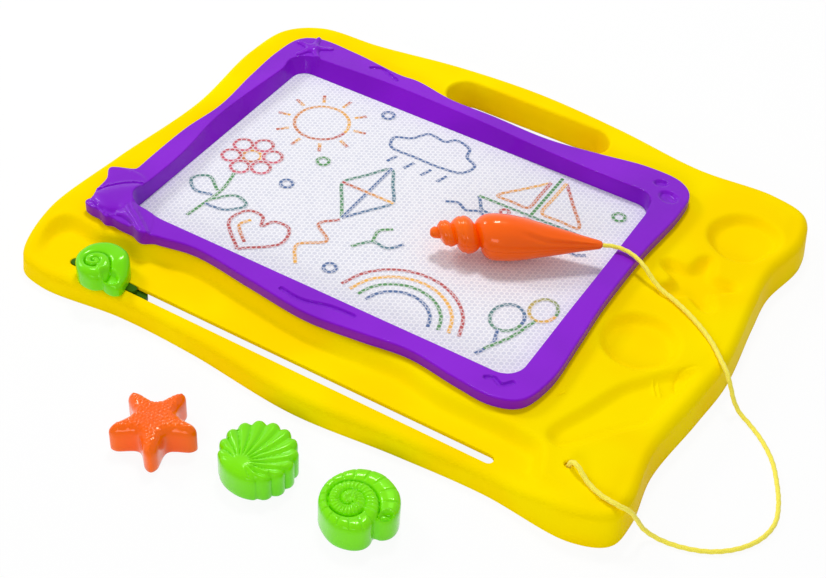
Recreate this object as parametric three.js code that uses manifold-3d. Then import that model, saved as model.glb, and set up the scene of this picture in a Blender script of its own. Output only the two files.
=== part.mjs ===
// A magnetic drawing board for children, in millimetres: +X runs along the eraser slot, +Y to the
// back edge and +Z up from the table. The pieces are laid out from the centre of the window, and at
// the end the whole board is shifted so that its origin is the centre of its footprint on the table.
import * as THREE from 'three';
import { mergeVertices } from 'three/addons/utils/BufferGeometryUtils.js';
import Module from 'manifold-3d';

const wasm = await Module();
wasm.setup();

// Window and tray
const windowLength = 249;
const windowDepth = 175;
const windowCornerRadius = 9;
const marginLeft = 42.5;
const marginRight = 90.5;
const marginFront = 65;
const marginBack = 66;
const plateauHeight = 21;
const troughFloorHeight = 13;
const trayWall = 2.4;
const skirtDraft = 2.2;
const shoulderRadius = 5.6;
const troughFillet = 2.5;
const troughRimRound = 2.6;
const handleLength = 112;
const handleDepth = 27;
const handleFromWindow = 34.9;
const handleRimRound = 1.6;
const ribThickness = 1.6;
const ribDrop = 7;

// Screen panel
const screenHeight = 17;
const filmThickness = 0.4;
const coreThickness = 2.2;
const panelOverlap = 5;
const panelClearance = 0.4;

// Bezel
const railWidth = 16;
const bezelHeight = 28;
const bezelWall = 2.2;
const bezelEdgeRadius = 2.6;
const windowSlope = 3.2;
const conchRise = 2.6;
const starReliefRadius = 14;
const starReliefRise = 1.2;
const grooveRadius = 1.5;

// Slot and eraser
const slotPastLeft = 5;
const slotPastRight = 15.5;
const slotFromWindow = 45.7;
const slotWidth = 5.8;
const stemLength = 45;
const stemClearance = 0.4;
const knobRadius = 15;
const knobHeight = 13.5;
const armWidth = 15;
const armThickness = 3.4;
const armClearance = 0.4;
const carriageLength = 58;
const carriageDepth = 10;
const eraserMagnetWidth = 9;
const eraserMagnetSink = 1.2;
const eraserMagnetGap = 0.5;
const tongueThickness = 2.4;
const eraserScrewSpacing = 14;
const guideWall = 2;
const guideReach = 9;
const guideFlangeDepth = 8;
const guideHeight = 13;

// Screws and the bosses that hold them
const screwShankRadius = 1.3;
const screwHeadRadius = 2.6;
const screwHeadHeight = 1.8;
const screwHoleClearance = 0.3;
const bossWall = 1.7;
const screwInset = 10.7;

// Pen and cord
const penLength = 97;
const penRadius = 13.4;
const penWall = 2;
const penYaw = 27.6;
const penSeam = 0.3;
const penMagnetRadius = 2;
const penMagnetLength = 10;
const penMagnetInset = 2.4;
const cordDiameter = 2.6;
const cordHoleDiameter = 5;
const knotRadius = 3.2;
const penKnotRadius = 2.8;

// Stamps and the recesses that store them
const starRadius = 23;
const scallopRadius = 20.5;
const nautilusRadius = 20.5;
const stampHeight = 18;
const stampMagnetThickness = 3;
const stampMagnetLift = 0.4;
const spiralGrooveRadius = 0.9;
const recessDepth = 6;
const recessClearance = 1.4;
const recessRimRound = 2.4;
const recessFloorRound = 1.4;

// Gap between touching pieces, how far a cut runs past what it cuts, and when points are one
const seatGap = 0.2;
const overrun = 4;
const mergeTolerance = 1e-5;

// Turns about the upright axis, in degrees
const starRecessTurn = 21;
const scallopRecessTurn = 50;
const nautilusRecessTurn = -30;
const penRecessTurn = 241.6;
const starStampTurn = -58;
const scallopStampTurn = 63;
const nautilusStampTurn = -30;
const knobTurn = -25;

// Counts of facets
const traySteps = 84;
const troughSteps = 46;
const bezelSteps = 132;
const bezelSideSteps = 14;
const cornerSteps = 3;
const endSteps = 8;
const shapeSteps = 40;
const reliefSteps = 30;
const hollowSteps = 20;
const roundSides = 8;
const penSides = 16;
const cordSides = 8;
const cordSteps = 64;

// Sizes that follow from the ones above
const trayLength = windowLength + marginLeft + marginRight;
const trayDepth = windowDepth + marginFront + marginBack;
const trayCentreX = (marginRight - marginLeft) / 2;
const trayCentreY = (marginBack - marginFront) / 2;
const slotLength = windowLength + slotPastLeft + slotPastRight;
const slotPlace = [(slotPastRight - slotPastLeft) / 2, -windowDepth / 2 - slotFromWindow];
const coreTop = screenHeight - filmThickness - seatGap;
const coreBottom = coreTop - coreThickness;
const backFilmTop = coreBottom - seatGap;
const backFilmBottom = backFilmTop - filmThickness;
const ledgeTop = backFilmBottom - seatGap;
const ledgeBottom = ledgeTop - trayWall;
const pocketMargin = panelOverlap + panelClearance;
const plateauUnderside = plateauHeight - trayWall;
const troughUnderside = troughFloorHeight - trayWall;
const bezelSeat = plateauHeight + seatGap;
const bezelRoof = bezelHeight - bezelWall;
const armTop = troughUnderside - armClearance;
const armBottom = armTop - armThickness;
const knobSeat = troughFloorHeight + seatGap;
const screwHoleRadius = screwShankRadius + screwHoleClearance;
const bossRadius = screwHoleRadius + bossWall;
const recessFloor = plateauHeight - recessDepth;

// Places as shares of half the tray's length and depth, from the tray's centre
const trayOutlineShares = [
  [-0.950, -0.941], [-0.850, -0.984], [-0.578, -0.951], [-0.327, -0.958], [0.040, -1.000],
  [0.354, -0.967], [0.616, -0.951], [0.877, -0.971], [0.972, -0.915], [0.987, -0.797],
  [0.964, -0.582], [0.987, -0.275], [1.000, -0.046], [0.974, 0.281], [0.964, 0.458],
  [0.993, 0.706], [0.951, 0.869], [0.825, 0.922], [0.579, 0.908], [0.275, 0.967],
  [-0.039, 1.000], [-0.337, 0.977], [-0.630, 0.915], [-0.850, 0.889], [-0.960, 0.771],
  [-0.986, 0.542], [-0.955, 0.118], [-0.986, -0.340], [-0.999, -0.732],
];
const troughOutlineShares = [
  [-0.892, -1.092], [0.783, -1.092], [0.762, -0.993], [0.726, -0.869], [0.694, -0.778],
  [0.631, -0.758], [0.385, -0.752], [0.244, -0.719], [0.118, -0.729], [-0.081, -0.729],
  [-0.232, -0.706], [-0.463, -0.676], [-0.625, -0.706], [-0.772, -0.742], [-0.903, -0.742],
  [-0.945, -0.810], [-0.934, -0.928],
];
const handleOffsetShare = -0.007;
const cordHoleShares = [0.791, -0.792];
const starRecessShares = [0.783, 0.255];
const scallopRecessShares = [0.747, -0.150];
const nautilusRecessShares = [0.830, 0.588];
const penRecessShares = [0.717, -0.722];
const starStampShares = [-0.209, -1.346];
const scallopStampShares = [0.082, -1.268];
const nautilusStampShares = [0.391, -1.261];
const ribShares = [[0.83, -0.45], [0.83, 0.06], [0.86, 0.44], [-0.86, -0.45], [-0.86, 0], [-0.86, 0.45]];
const ribLengthShare = 0.26;

// Places as shares of half the window and one rail, from the window's centre
const bezelOutlineShares = [
  [-0.679, -1.010], [-0.487, -0.966], [-0.202, -1.010], [0.083, -1.053], [0.310, -1.024],
  [0.510, -0.990], [0.723, -1.029], [0.880, -1.043], [0.979, -0.981], [1.022, -0.787],
  [1.015, -0.449], [1.001, -0.111], [1.004, 0.372], [1.026, 0.807], [1.008, 0.981],
  [0.937, 1.063], [0.780, 1.077], [0.581, 1.024], [0.332, 0.981], [0.047, 0.990],
  [-0.145, 0.995], [-0.344, 1.043], [-0.437, 1.034], [-0.700, 1.082], [-0.893, 1.082],
  [-0.971, 1.010], [-0.999, 0.807], [-0.992, 0.517], [-0.967, 0.150], [-0.992, -0.159],
  [-0.985, -0.594], [-0.964, -0.903], [-0.878, -1.010],
];
const conchOutlineShares = [
  [-1.032, -0.885], [-1.012, -0.935], [-1.028, -0.985], [-0.985, -1.010], [-0.940, -1.010],
  [-0.893, -1.034], [-0.860, -0.995], [-0.800, -1.000], [-0.712, -1.048], [-0.682, -1.020],
  [-0.722, -0.905], [-0.835, -0.745], [-0.925, -0.640], [-1.018, -0.640], [-1.082, -0.680],
  [-1.045, -0.765],
];
const conchCentreShares = [-0.925, -0.830];
const starReliefShares = [-0.865, 0.975];
const grooveShares = [
  [[-0.10, -0.965], [0.02, -0.985], [0.14, -0.945], [0.27, -0.935]],
  [[-0.59, 0.985], [-0.53, 1.020], [-0.47, 0.990], [-0.41, 0.960]],
  [[0.80, -0.955], [0.84, -0.925], [0.88, -0.945], [0.92, -0.880]],
  [[0.905, 0.920], [0.935, 0.960], [0.945, 1.000]],
];

// Places as shares of half the window and the screws' inset, from the window's centre
const bezelScrewShares = [
  [-0.97, -0.957], [0.06, -1], [0.99, -0.985], [1, -0.2],
  [0.99, 0.985], [0.74, 1], [-0.99, 0.985], [-1, -0.25],
];
const guideScrewShares = [-0.86, 0.02, 0.86];

// The cord's route from the pen's tail over the bezel, round on the table and back into the tray
const cordRoute = [
  [120.3, 27.0, 30.4], [124.6, 29.2, 30.4], [130.0, 30.6, 30.2], [136.0, 30.2, 30.0],
  [142.0, 28.0, 29.8], [148.0, 25.0, 28.6], [154.5, 22.0, 25.4], [161.0, 19.6, 23.2],
  [169.0, 16.8, 22.7], [180.0, 11.4, 22.7], [191.0, 4.6, 22.7], [201.5, -3.6, 22.7],
  [210.0, -12.4, 22.6], [216.4, -18.6, 21.4], [220.8, -21.6, 16.0], [224.4, -22.0, 8.0],
  [229.0, -23.0, 2.6], [236.0, -26.6, 1.5], [246.0, -34.0, 1.5], [256.0, -44.5, 1.5],
  [263.5, -57.0, 1.5], [269.5, -70.0, 1.5], [272.5, -82.5, 1.5], [270.5, -95.0, 1.5],
  [263.5, -107.0, 1.5], [252.5, -116.5, 1.5], [239.5, -121.8, 1.5], [228.0, -123.6, 1.8],
  [220.4, -125.6, 6.0], [216.6, -128.6, 14.0], [213.2, -131.2, 20.4], [206.5, -132.8, 22.9],
  [197.0, -131.4, 22.7], [188.4, -127.8, 22.9], [184.6, -125.8, 24.2], [181.0, -123.9, 25.6],
  [178.1, -122.3, 25.1], [176.0, -121.2, 23.0], [175.1, -120.7, 19.9], [175.1, -120.7, 18.8],
];

const materials = {
  yellow: new THREE.MeshStandardMaterial({ color: 0xffd600, roughness: 0.32, metalness: 0 }),
  purple: new THREE.MeshStandardMaterial({ color: 0x7a16d4, roughness: 0.35, metalness: 0 }),
  green: new THREE.MeshStandardMaterial({ color: 0x6edc00, roughness: 0.25, metalness: 0 }),
  orange: new THREE.MeshStandardMaterial({ color: 0xff5a05, roughness: 0.22, metalness: 0 }),
  film: new THREE.MeshStandardMaterial({ color: 0xe4e6ec, roughness: 0.3, metalness: 0 }),
  core: new THREE.MeshStandardMaterial({ color: 0xdadce4, roughness: 0.5, metalness: 0 }),
  steel: new THREE.MeshStandardMaterial({ color: 0xb8bcc2, roughness: 0.35, metalness: 1 }),
  magnet: new THREE.MeshStandardMaterial({ color: 0x2c2a29, roughness: 0.7, metalness: 0 }),
  cord: new THREE.MeshStandardMaterial({ color: 0xf7e14a, roughness: 0.8, metalness: 0 }),
};

// A closed geometry as a solid, with its shared points merged and its empty triangles dropped
function solidOf(geometry) {
  const bare = geometry.clone();
  bare.deleteAttribute('normal');
  bare.deleteAttribute('uv');
  const merged = mergeVertices(bare, mergeTolerance);
  const corners = merged.index.array;
  const kept = [];
  for (let first = 0; first < corners.length; first += 3) {
    const [a, b, c] = corners.slice(first, first + 3);
    if (a !== b && b !== c && c !== a) kept.push(a, b, c);
  }
  return new wasm.Manifold(new wasm.Mesh({
    numProp: 3,
    vertProperties: new Float32Array(merged.attributes.position.array),
    triVerts: new Uint32Array(kept),
  }));
}

function meshOf(name, solid, material) {
  const { vertProperties, triVerts } = solid.getMesh();
  const geometry = new THREE.BufferGeometry();
  geometry.setAttribute('position', new THREE.BufferAttribute(vertProperties, 3));
  geometry.setIndex(new THREE.BufferAttribute(triVerts, 1));
  geometry.computeVertexNormals();
  const mesh = new THREE.Mesh(geometry, material);
  mesh.name = name;
  return mesh;
}

function joined(solids) {
  return solids.reduce((whole, solid) => whole.add(solid));
}

function cut(solid, cutters) {
  return cutters.reduce((whole, cutter) => whole.subtract(cutter), solid);
}

function closedGeometry(positions, faces) {
  const geometry = new THREE.BufferGeometry();
  geometry.setAttribute('position', new THREE.Float32BufferAttribute(positions, 3));
  geometry.setIndex(faces);
  return geometry;
}

// Points evenly along a smooth closed curve through anchors that run counter-clockwise
function smoothOutline(anchors, steps) {
  const curve = new THREE.CatmullRomCurve3(anchors.map(([x, y]) => new THREE.Vector3(x, y, 0)), true);
  curve.arcLengthDivisions = steps * roundSides;
  return curve.getSpacedPoints(steps).slice(0, steps).map(({ x, y }) => new THREE.Vector2(x, y));
}

function trayPoint([shareX, shareY]) {
  return [trayCentreX + shareX * trayLength / 2, trayCentreY + shareY * trayDepth / 2];
}

function railPoint([shareX, shareY]) {
  return [shareX * (windowLength / 2 + railWidth), shareY * (windowDepth / 2 + railWidth)];
}

// How far in and how far up the middle of a rounded edge lies, as a share of its radius
const roundShare = 0.3;

// The outline moved square to itself: inwards where the distance is positive
function inset(outline, distance) {
  return outline.map((point, index) => {
    const before = outline.at(index - 1);
    const after = outline[(index + 1) % outline.length];
    const along = after.clone().sub(before).normalize();
    return new THREE.Vector2(point.x - along.y * distance, point.y + along.x * distance);
  });
}

function scaled(outline, share, centre = new THREE.Vector2()) {
  return outline.map((point) => point.clone().sub(centre).multiplyScalar(share).add(centre));
}

function placed(outline, [x, y], degrees = 0) {
  const middle = new THREE.Vector2();
  const turn = THREE.MathUtils.degToRad(degrees);
  return outline.map((point) => point.clone().rotateAround(middle, turn).add(new THREE.Vector2(x, y)));
}

// A rectangle with round corners, with the given steps along every side and round every corner
function roundedRectangle(length, depth, radius, sideSteps) {
  const quarters = [[1, -1], [1, 1], [-1, 1], [-1, -1]];
  const corners = quarters.map(([signX, signY], index) => {
    const centre = new THREE.Vector2(signX * (length / 2 - radius), signY * (depth / 2 - radius));
    return Array.from({ length: cornerSteps + 1 }, (_, step) => {
      const angle = Math.PI / 2 * (index - 1 + step / cornerSteps);
      return centre.clone().add(new THREE.Vector2(Math.cos(angle), Math.sin(angle)).multiplyScalar(radius));
    });
  });
  return corners.flatMap((corner, index) => {
    const goal = corners[(index + 1) % corners.length][0];
    const side = Array.from({ length: sideSteps - 1 }, (_, step) => (
      corner.at(-1).clone().lerp(goal, (step + 1) / sideSteps)));
    return [...corner, ...side];
  });
}

// A slot shape: two straight sides with round ends
function stadium(length, depth) {
  const radius = depth / 2;
  return [1, -1].flatMap((side) => Array.from({ length: endSteps + 1 }, (_, step) => {
    const angle = Math.PI * (step / endSteps - side / 2);
    return new THREE.Vector2(side * (length / 2 - radius) + radius * Math.cos(angle), radius * Math.sin(angle));
  }));
}

// A solid through outlines of equal count, stacked from the bottom up
function stackedSolid(layers) {
  const count = layers[0].outline.length;
  const positions = layers.flatMap(({ outline, height }) => outline.flatMap(({ x, y }) => [x, y, height]));
  const faces = [];
  for (let layer = 0; layer < layers.length - 1; layer += 1) {
    for (let step = 0; step < count; step += 1) {
      const low = layer * count + step;
      const lowNext = layer * count + (step + 1) % count;
      faces.push(low, lowNext, lowNext + count, low, lowNext + count, low + count);
    }
  }
  const lid = (layers.length - 1) * count;
  for (const [a, b, c] of THREE.ShapeUtils.triangulateShape(layers[0].outline, [])) faces.push(a, c, b);
  for (const [a, b, c] of THREE.ShapeUtils.triangulateShape(layers.at(-1).outline, [])) {
    faces.push(lid + a, lid + b, lid + c);
  }
  return solidOf(closedGeometry(positions, faces));
}

// A block over one outline, whose profile lists inset and height from the bottom up
function edgedBlock(outline, profile) {
  return stackedSolid(profile.map(([distance, height]) => ({ outline: inset(outline, distance), height })));
}

function slab(outline, bottom, top) {
  return edgedBlock(outline, [[0, bottom], [0, top]]);
}

// A block over one outline that shrinks towards a centre, by a profile of share and height
function domedBlock(outline, profile, centre) {
  return stackedSolid(profile.map(([share, height]) => ({ outline: scaled(outline, share, centre), height })));
}

// Where a ray from the origin meets a closed outline
function onRay(outline, angle) {
  const ray = new THREE.Vector2(Math.cos(angle), Math.sin(angle));
  for (let index = 0; index < outline.length; index += 1) {
    const from = outline[index];
    const side = outline[(index + 1) % outline.length].clone().sub(from);
    const reach = from.cross(side) / ray.cross(side);
    const share = from.cross(ray) / ray.cross(side);
    if (reach > 0 && share >= 0 && share <= 1) return ray.clone().multiplyScalar(reach);
  }
  throw new Error('a ray misses the outline');
}

// A ring through outlines that all meet the same rays, listed up its outer side, in over its top
// and down its inner side
function ringSolid(sections, rays) {
  const count = rays.length;
  const positions = sections.flatMap(({ outline, height }) => rays.flatMap((angle) => {
    const { x, y } = onRay(outline, angle);
    return [x, y, height];
  }));
  const faces = [];
  for (let section = 0; section < sections.length; section += 1) {
    const here = section * count;
    const next = ((section + 1) % sections.length) * count;
    for (let step = 0; step < count; step += 1) {
      const after = (step + 1) % count;
      faces.push(here + step, here + after, next + after, here + step, next + after, next + step);
    }
  }
  return solidOf(closedGeometry(positions, faces));
}

function box(length, depth, [x, y], bottom, top) {
  const geometry = new THREE.BoxGeometry(length, depth, top - bottom);
  geometry.translate(x, y, (bottom + top) / 2);
  return solidOf(geometry);
}

function post(radius, [x, y], bottom, top) {
  const geometry = new THREE.CylinderGeometry(radius, radius, top - bottom, roundSides);
  geometry.rotateX(Math.PI / 2);
  geometry.translate(x, y, (bottom + top) / 2);
  return solidOf(geometry);
}

function lathed(profile, sides) {
  return new THREE.LatheGeometry(profile.map(([radius, along]) => new THREE.Vector2(radius, along)), sides);
}

// A solid of revolution about an upright axis, from a profile of radius and height
function turned(profile, [x, y], sides) {
  const geometry = lathed(profile, sides);
  geometry.rotateX(Math.PI / 2);
  geometry.translate(x, y, 0);
  return solidOf(geometry);
}

// A solid of revolution that lies along +X, from a profile of radius and length
function turnedLying(profile, sides) {
  const geometry = lathed(profile, sides);
  geometry.rotateZ(-Math.PI / 2);
  return solidOf(geometry);
}

// A round bar along a curve
function bar(points, radius, sides, steps) {
  const curve = new THREE.CatmullRomCurve3(points);
  const section = new THREE.Shape(Array.from({ length: sides }, (_, side) => {
    const angle = 2 * Math.PI * side / sides;
    return new THREE.Vector2(radius * Math.cos(angle), radius * Math.sin(angle));
  }));
  return solidOf(new THREE.ExtrudeGeometry(section, { steps, extrudePath: curve, bevelEnabled: false }));
}

// A round-headed screw driven upwards: its head lies under the seat and its shank reaches above it
const screwCrownShare = 0.7;
const screwPointShare = 0.8;

function screw(name, place, seat, reach) {
  const headTop = seat - seatGap;
  const headBottom = headTop - screwHeadHeight;
  const profile = [
    [0, headBottom], [screwHeadRadius * screwCrownShare, headBottom],
    [screwHeadRadius, headTop - screwHeadHeight / 2], [screwHeadRadius, headTop],
    [screwShankRadius, headTop], [screwShankRadius, seat + reach * screwPointShare], [0, seat + reach],
  ];
  return meshOf(name, turned(profile, place, roundSides), materials.steel);
}

// The outlines that a stamp and its recess share
const starTips = 5;
const starAnchorShares = [[-0.22, 0.92], [0, 1], [0.22, 0.92], [1, 0.48]];

function starOutline(radius, steps = shapeSteps) {
  const anchors = Array.from({ length: starTips }).flatMap((_, tip) => (
    starAnchorShares.map(([turnShare, radiusShare]) => {
      const angle = (2 * tip + turnShare) * Math.PI / starTips;
      return [radius * radiusShare * Math.cos(angle), radius * radiusShare * Math.sin(angle)];
    })));
  return smoothOutline(anchors, steps);
}

// A fan with its hinge along -X: it has flutes round its rim, and none beside the hinge
const scallopFlutes = 15;
const fluteSteps = 3;
const fluteDepthShare = 0.05;
const hingeShare = 0.14;
const hingeSpanShares = [0.1, 0.25];

function scallopOutline(radius, steps = scallopFlutes * fluteSteps) {
  return Array.from({ length: steps }, (_, step) => {
    const angle = 2 * Math.PI * step / steps;
    const away = Math.abs(angle / Math.PI - 1);
    const flute = Math.abs(Math.sin(angle * scallopFlutes / 2));
    const fluted = THREE.MathUtils.smoothstep(away, ...hingeSpanShares);
    const reach = radius * (1 - fluteDepthShare * (1 - flute) * fluted - hingeShare * (1 - away) ** 4);
    return new THREE.Vector2(reach * Math.cos(angle), reach * Math.sin(angle));
  });
}

// A snail whose radius shrinks by one step in a turn, with its mouth's notch along +X
const whorlStepShare = 0.15;
const mouthTurnShare = 0.05;

function nautilusOutline(radius, steps = shapeSteps) {
  return Array.from({ length: steps }, (_, step) => {
    const turnShare = step / steps;
    const mouth = 1 - THREE.MathUtils.smoothstep(turnShare, 0, mouthTurnShare);
    const reach = radius * (1 - whorlStepShare * Math.max(turnShare, mouth));
    const angle = 2 * Math.PI * turnShare;
    return new THREE.Vector2(reach * Math.cos(angle), reach * Math.sin(angle));
  });
}

// The spiral groove between the whorls, as a bar that is cut from the top
const spiralTurns = 1.9;
const spiralShares = [0.16, 0.78];
const spiralPoints = 22;
const grooveSides = 6;

function spiralGroove(radius, height) {
  const points = Array.from({ length: spiralPoints + 1 }, (_, step) => {
    const share = step / spiralPoints;
    const reach = radius * THREE.MathUtils.lerp(...spiralShares, share);
    const angle = 2 * Math.PI * spiralTurns * (share - 1);
    return new THREE.Vector3(reach * Math.cos(angle), reach * Math.sin(angle), height);
  });
  return bar(points, spiralGrooveRadius, grooveSides, spiralPoints);
}

// The pen's profile as shares of its length and radius, from its nose to its tail
const penProfileShares = [
  [0, 0], [0.008, 0.15], [0.025, 0.24], [0.055, 0.24], [0.068, 0.42], [0.085, 0.52], [0.110, 0.56],
  [0.138, 0.48], [0.152, 0.66], [0.178, 0.76], [0.215, 0.78], [0.262, 0.65], [0.275, 0.80],
  [0.305, 0.93], [0.370, 1], [0.440, 0.99], [0.530, 0.91], [0.640, 0.74], [0.770, 0.53],
  [0.890, 0.33], [0.985, 0.19], [1, 0.13], [1, 0],
];
const penRecessSpanShares = [0.06, 1];

function penProfile() {
  return penProfileShares.map(([along, radius]) => [radius * penRadius, along * penLength]);
}

// The pen's outline seen from above, with its nose at the origin and its tail along +X
function penOutline() {
  const [first, last] = penRecessSpanShares;
  const side = penProfile().filter(([radius, along]) => (
    radius > 0 && along >= first * penLength && along <= last * penLength));
  const low = side.map(([radius, along]) => [along, -radius]);
  const high = side.map(([radius, along]) => [along, radius]).reverse();
  return smoothOutline([...low, ...high], reliefSteps);
}

// Tray outlines, counter-clockwise
const trayOutline = smoothOutline(trayOutlineShares.map(trayPoint), traySteps);
const troughOutline = smoothOutline(troughOutlineShares.map(trayPoint), troughSteps);
const windowOutline = roundedRectangle(windowLength, windowDepth, windowCornerRadius, bezelSideSteps);
const panelOutline = roundedRectangle(windowLength + 2 * panelOverlap, windowDepth + 2 * panelOverlap,
  windowCornerRadius + panelOverlap, 1);
const handlePlace = [trayPoint([handleOffsetShare, 0])[0], windowDepth / 2 + handleFromWindow];
const handleOutline = placed(stadium(handleLength, handleDepth), handlePlace);
const cordHolePlace = trayPoint(cordHoleShares);

// The side profile of the tray, up to a top: a drafted skirt and a round shoulder
const shoulderShares = [0, 0.35, 0.7, 1];

function skirtProfile(top) {
  const lean = skirtDraft * (top - shoulderRadius) / plateauHeight;
  return [[0, 0], ...shoulderShares.map((share) => {
    const angle = share * Math.PI / 2;
    return [lean + shoulderRadius * (1 - Math.cos(angle)), top - shoulderRadius * (1 - Math.sin(angle))];
  })];
}

// The side profile of the hollow under the same top, inside the tray's wall
function hollowProfile(top) {
  const lean = skirtDraft * (top - shoulderRadius) / plateauHeight;
  return [
    [trayWall, -overrun], [trayWall, 0], [lean + trayWall, top - shoulderRadius],
    [lean + shoulderRadius, top - trayWall],
  ];
}

// The tray's body without its openings: a plateau that steps down to the trough's floor in front
function trayBody() {
  const plateau = edgedBlock(trayOutline, skirtProfile(plateauHeight));
  const floor = edgedBlock(trayOutline, skirtProfile(troughFloorHeight));
  const step = edgedBlock(troughOutline, [
    [troughFillet, troughFloorHeight - shoulderRadius], [troughFillet, troughFloorHeight],
    [troughFillet * roundShare, troughFloorHeight + troughFillet * roundShare],
    [0, troughFloorHeight + troughFillet], [0, plateauHeight - troughRimRound],
    [-troughRimRound * roundShare, plateauHeight - troughRimRound * roundShare],
    [-troughRimRound, plateauHeight], [-troughRimRound, plateauHeight + overrun],
  ]);
  return plateau.subtract(step.subtract(floor));
}

// The hollow under the tray's body, one wall inside it
function trayHollow() {
  const plateau = edgedBlock(trayOutline, hollowProfile(plateauHeight));
  const floor = edgedBlock(trayOutline, hollowProfile(troughFloorHeight));
  const step = slab(inset(troughOutline, -trayWall), -overrun, plateauHeight);
  return plateau.subtract(step.subtract(floor));
}

// A recess for one stamp or the pen, with a soft rim
function recess(outline) {
  const rim = recessClearance + recessRimRound;
  return edgedBlock(outline, [
    [recessFloorRound - recessClearance, recessFloor], [-recessClearance, recessFloor + recessFloorRound],
    [-recessClearance, plateauHeight - recessRimRound],
    [-recessClearance - recessRimRound * roundShare, plateauHeight - recessRimRound * roundShare],
    [-rim, plateauHeight], [-rim, plateauHeight + overrun],
  ]);
}

// The cup of the tray's own wall round a recess
function recessCup(outline) {
  return slab(inset(outline, -recessClearance - trayWall), recessFloor - trayWall, plateauHeight);
}

const recessOutlines = [
  placed(starOutline(starRadius), trayPoint(starRecessShares), starRecessTurn),
  placed(scallopOutline(scallopRadius, reliefSteps), trayPoint(scallopRecessShares), scallopRecessTurn),
  placed(nautilusOutline(nautilusRadius, reliefSteps), trayPoint(nautilusRecessShares), nautilusRecessTurn),
  placed(placed(penOutline(), [-penLength, 0]), trayPoint(penRecessShares), penRecessTurn),
];

const bezelScrewPlaces = bezelScrewShares.map(([shareX, shareY]) => [
  shareX * (windowLength / 2 + screwInset), shareY * (windowDepth / 2 + screwInset)]);

// The rear guide lies just behind the wall of the panel's pocket
const guideFront = windowDepth / 2 + pocketMargin + trayWall + armClearance;
const guideScrewY = guideFront + guideWall + guideFlangeDepth / 2;
const guideScrewPlaces = guideScrewShares.map((share) => [share * windowLength / 2, guideScrewY]);

function makeTray() {
  const ribs = ribShares.map((shares) => (
    box(ribLengthShare * trayLength / 2, ribThickness, trayPoint(shares),
      plateauUnderside - ribDrop, plateauHeight)));
  const pocket = (margin, bottom) => slab(inset(windowOutline, -margin), bottom, plateauHeight + overrun);
  const guideBosses = guideScrewPlaces.map((place) => (
    post(bossRadius, place, guideHeight + seatGap, plateauHeight)));
  const hollow = cut(trayHollow(), [
    pocket(pocketMargin + trayWall, ledgeBottom),
    slab(inset(handleOutline, -trayWall), 0, plateauHeight),
    post(cordHoleDiameter / 2 + trayWall, cordHolePlace, plateauUnderside, plateauHeight),
    ...recessOutlines.map(recessCup),
    ...guideBosses,
    ...ribs,
  ]);
  const handleCut = edgedBlock(handleOutline, [
    [-handleRimRound, -overrun], [0, handleRimRound], [0, plateauHeight - handleRimRound],
    [-handleRimRound * roundShare, plateauHeight - handleRimRound * roundShare],
    [-handleRimRound, plateauHeight],
    [-handleRimRound, plateauHeight + overrun],
  ]);
  return meshOf('tray', cut(trayBody(), [
    hollow,
    pocket(pocketMargin, ledgeTop),
    slab(windowOutline, -overrun, plateauHeight),
    handleCut,
    slab(placed(stadium(slotLength, slotWidth), slotPlace), 0, plateauHeight),
    post(cordHoleDiameter / 2, cordHolePlace, 0, plateauHeight + overrun),
    ...recessOutlines.map(recess),
    ...bezelScrewPlaces.map((place) => (
      post(screwHoleRadius, place, plateauUnderside - overrun, plateauHeight + overrun))),
    ...guideScrewPlaces.map((place) => post(screwHoleRadius, place, 0, plateauUnderside)),
  ]), materials.yellow);
}

// The whelk shell on the bezel's front left corner, by share of its outline and of its rise
const conchDomeShares = [[0.95, -0.5], [0.8, 0.35], [0.5, 0.85], [0.2, 1]];

function conchRelief() {
  const outline = smoothOutline(conchOutlineShares.map(railPoint), shapeSteps);
  const centre = new THREE.Vector2(...railPoint(conchCentreShares));
  const dome = conchDomeShares.map(([share, riseShare]) => [share, bezelHeight + conchRise * riseShare]);
  return domedBlock(outline, [[1, bezelSeat], [1, bezelHeight - bezelEdgeRadius], ...dome], centre);
}

// The starfish on its back left corner, by share of its outline and of its rise
const starReliefDomeShares = [[1, 0], [0.6, 0.6], [0.1, 1]];

function starRelief() {
  const outline = placed(
    starOutline(starReliefRadius, reliefSteps), railPoint(starReliefShares), starRecessTurn);
  const centre = new THREE.Vector2(...railPoint(starReliefShares));
  const dome = starReliefDomeShares.map(([share, riseShare]) => [
    share, bezelHeight + starReliefRise * riseShare]);
  return domedBlock(outline, [[1, bezelRoof], ...dome], centre);
}

function bezelGroove(shares) {
  const points = shares.map((share) => new THREE.Vector3(...railPoint(share), bezelHeight));
  return bar(points, grooveRadius, grooveSides, 2 * shares.length);
}

// The bezel's edges, by share of the edge's radius: how far in and how far below the top
const bezelOuterEdgeShares = [[0.1, 1], [0.4, 0.35], [1.2, 0]];
const bezelInnerEdgeShares = [[1, 0], [0.2, 0.3]];
const windowRimShare = 0.8;

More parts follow.
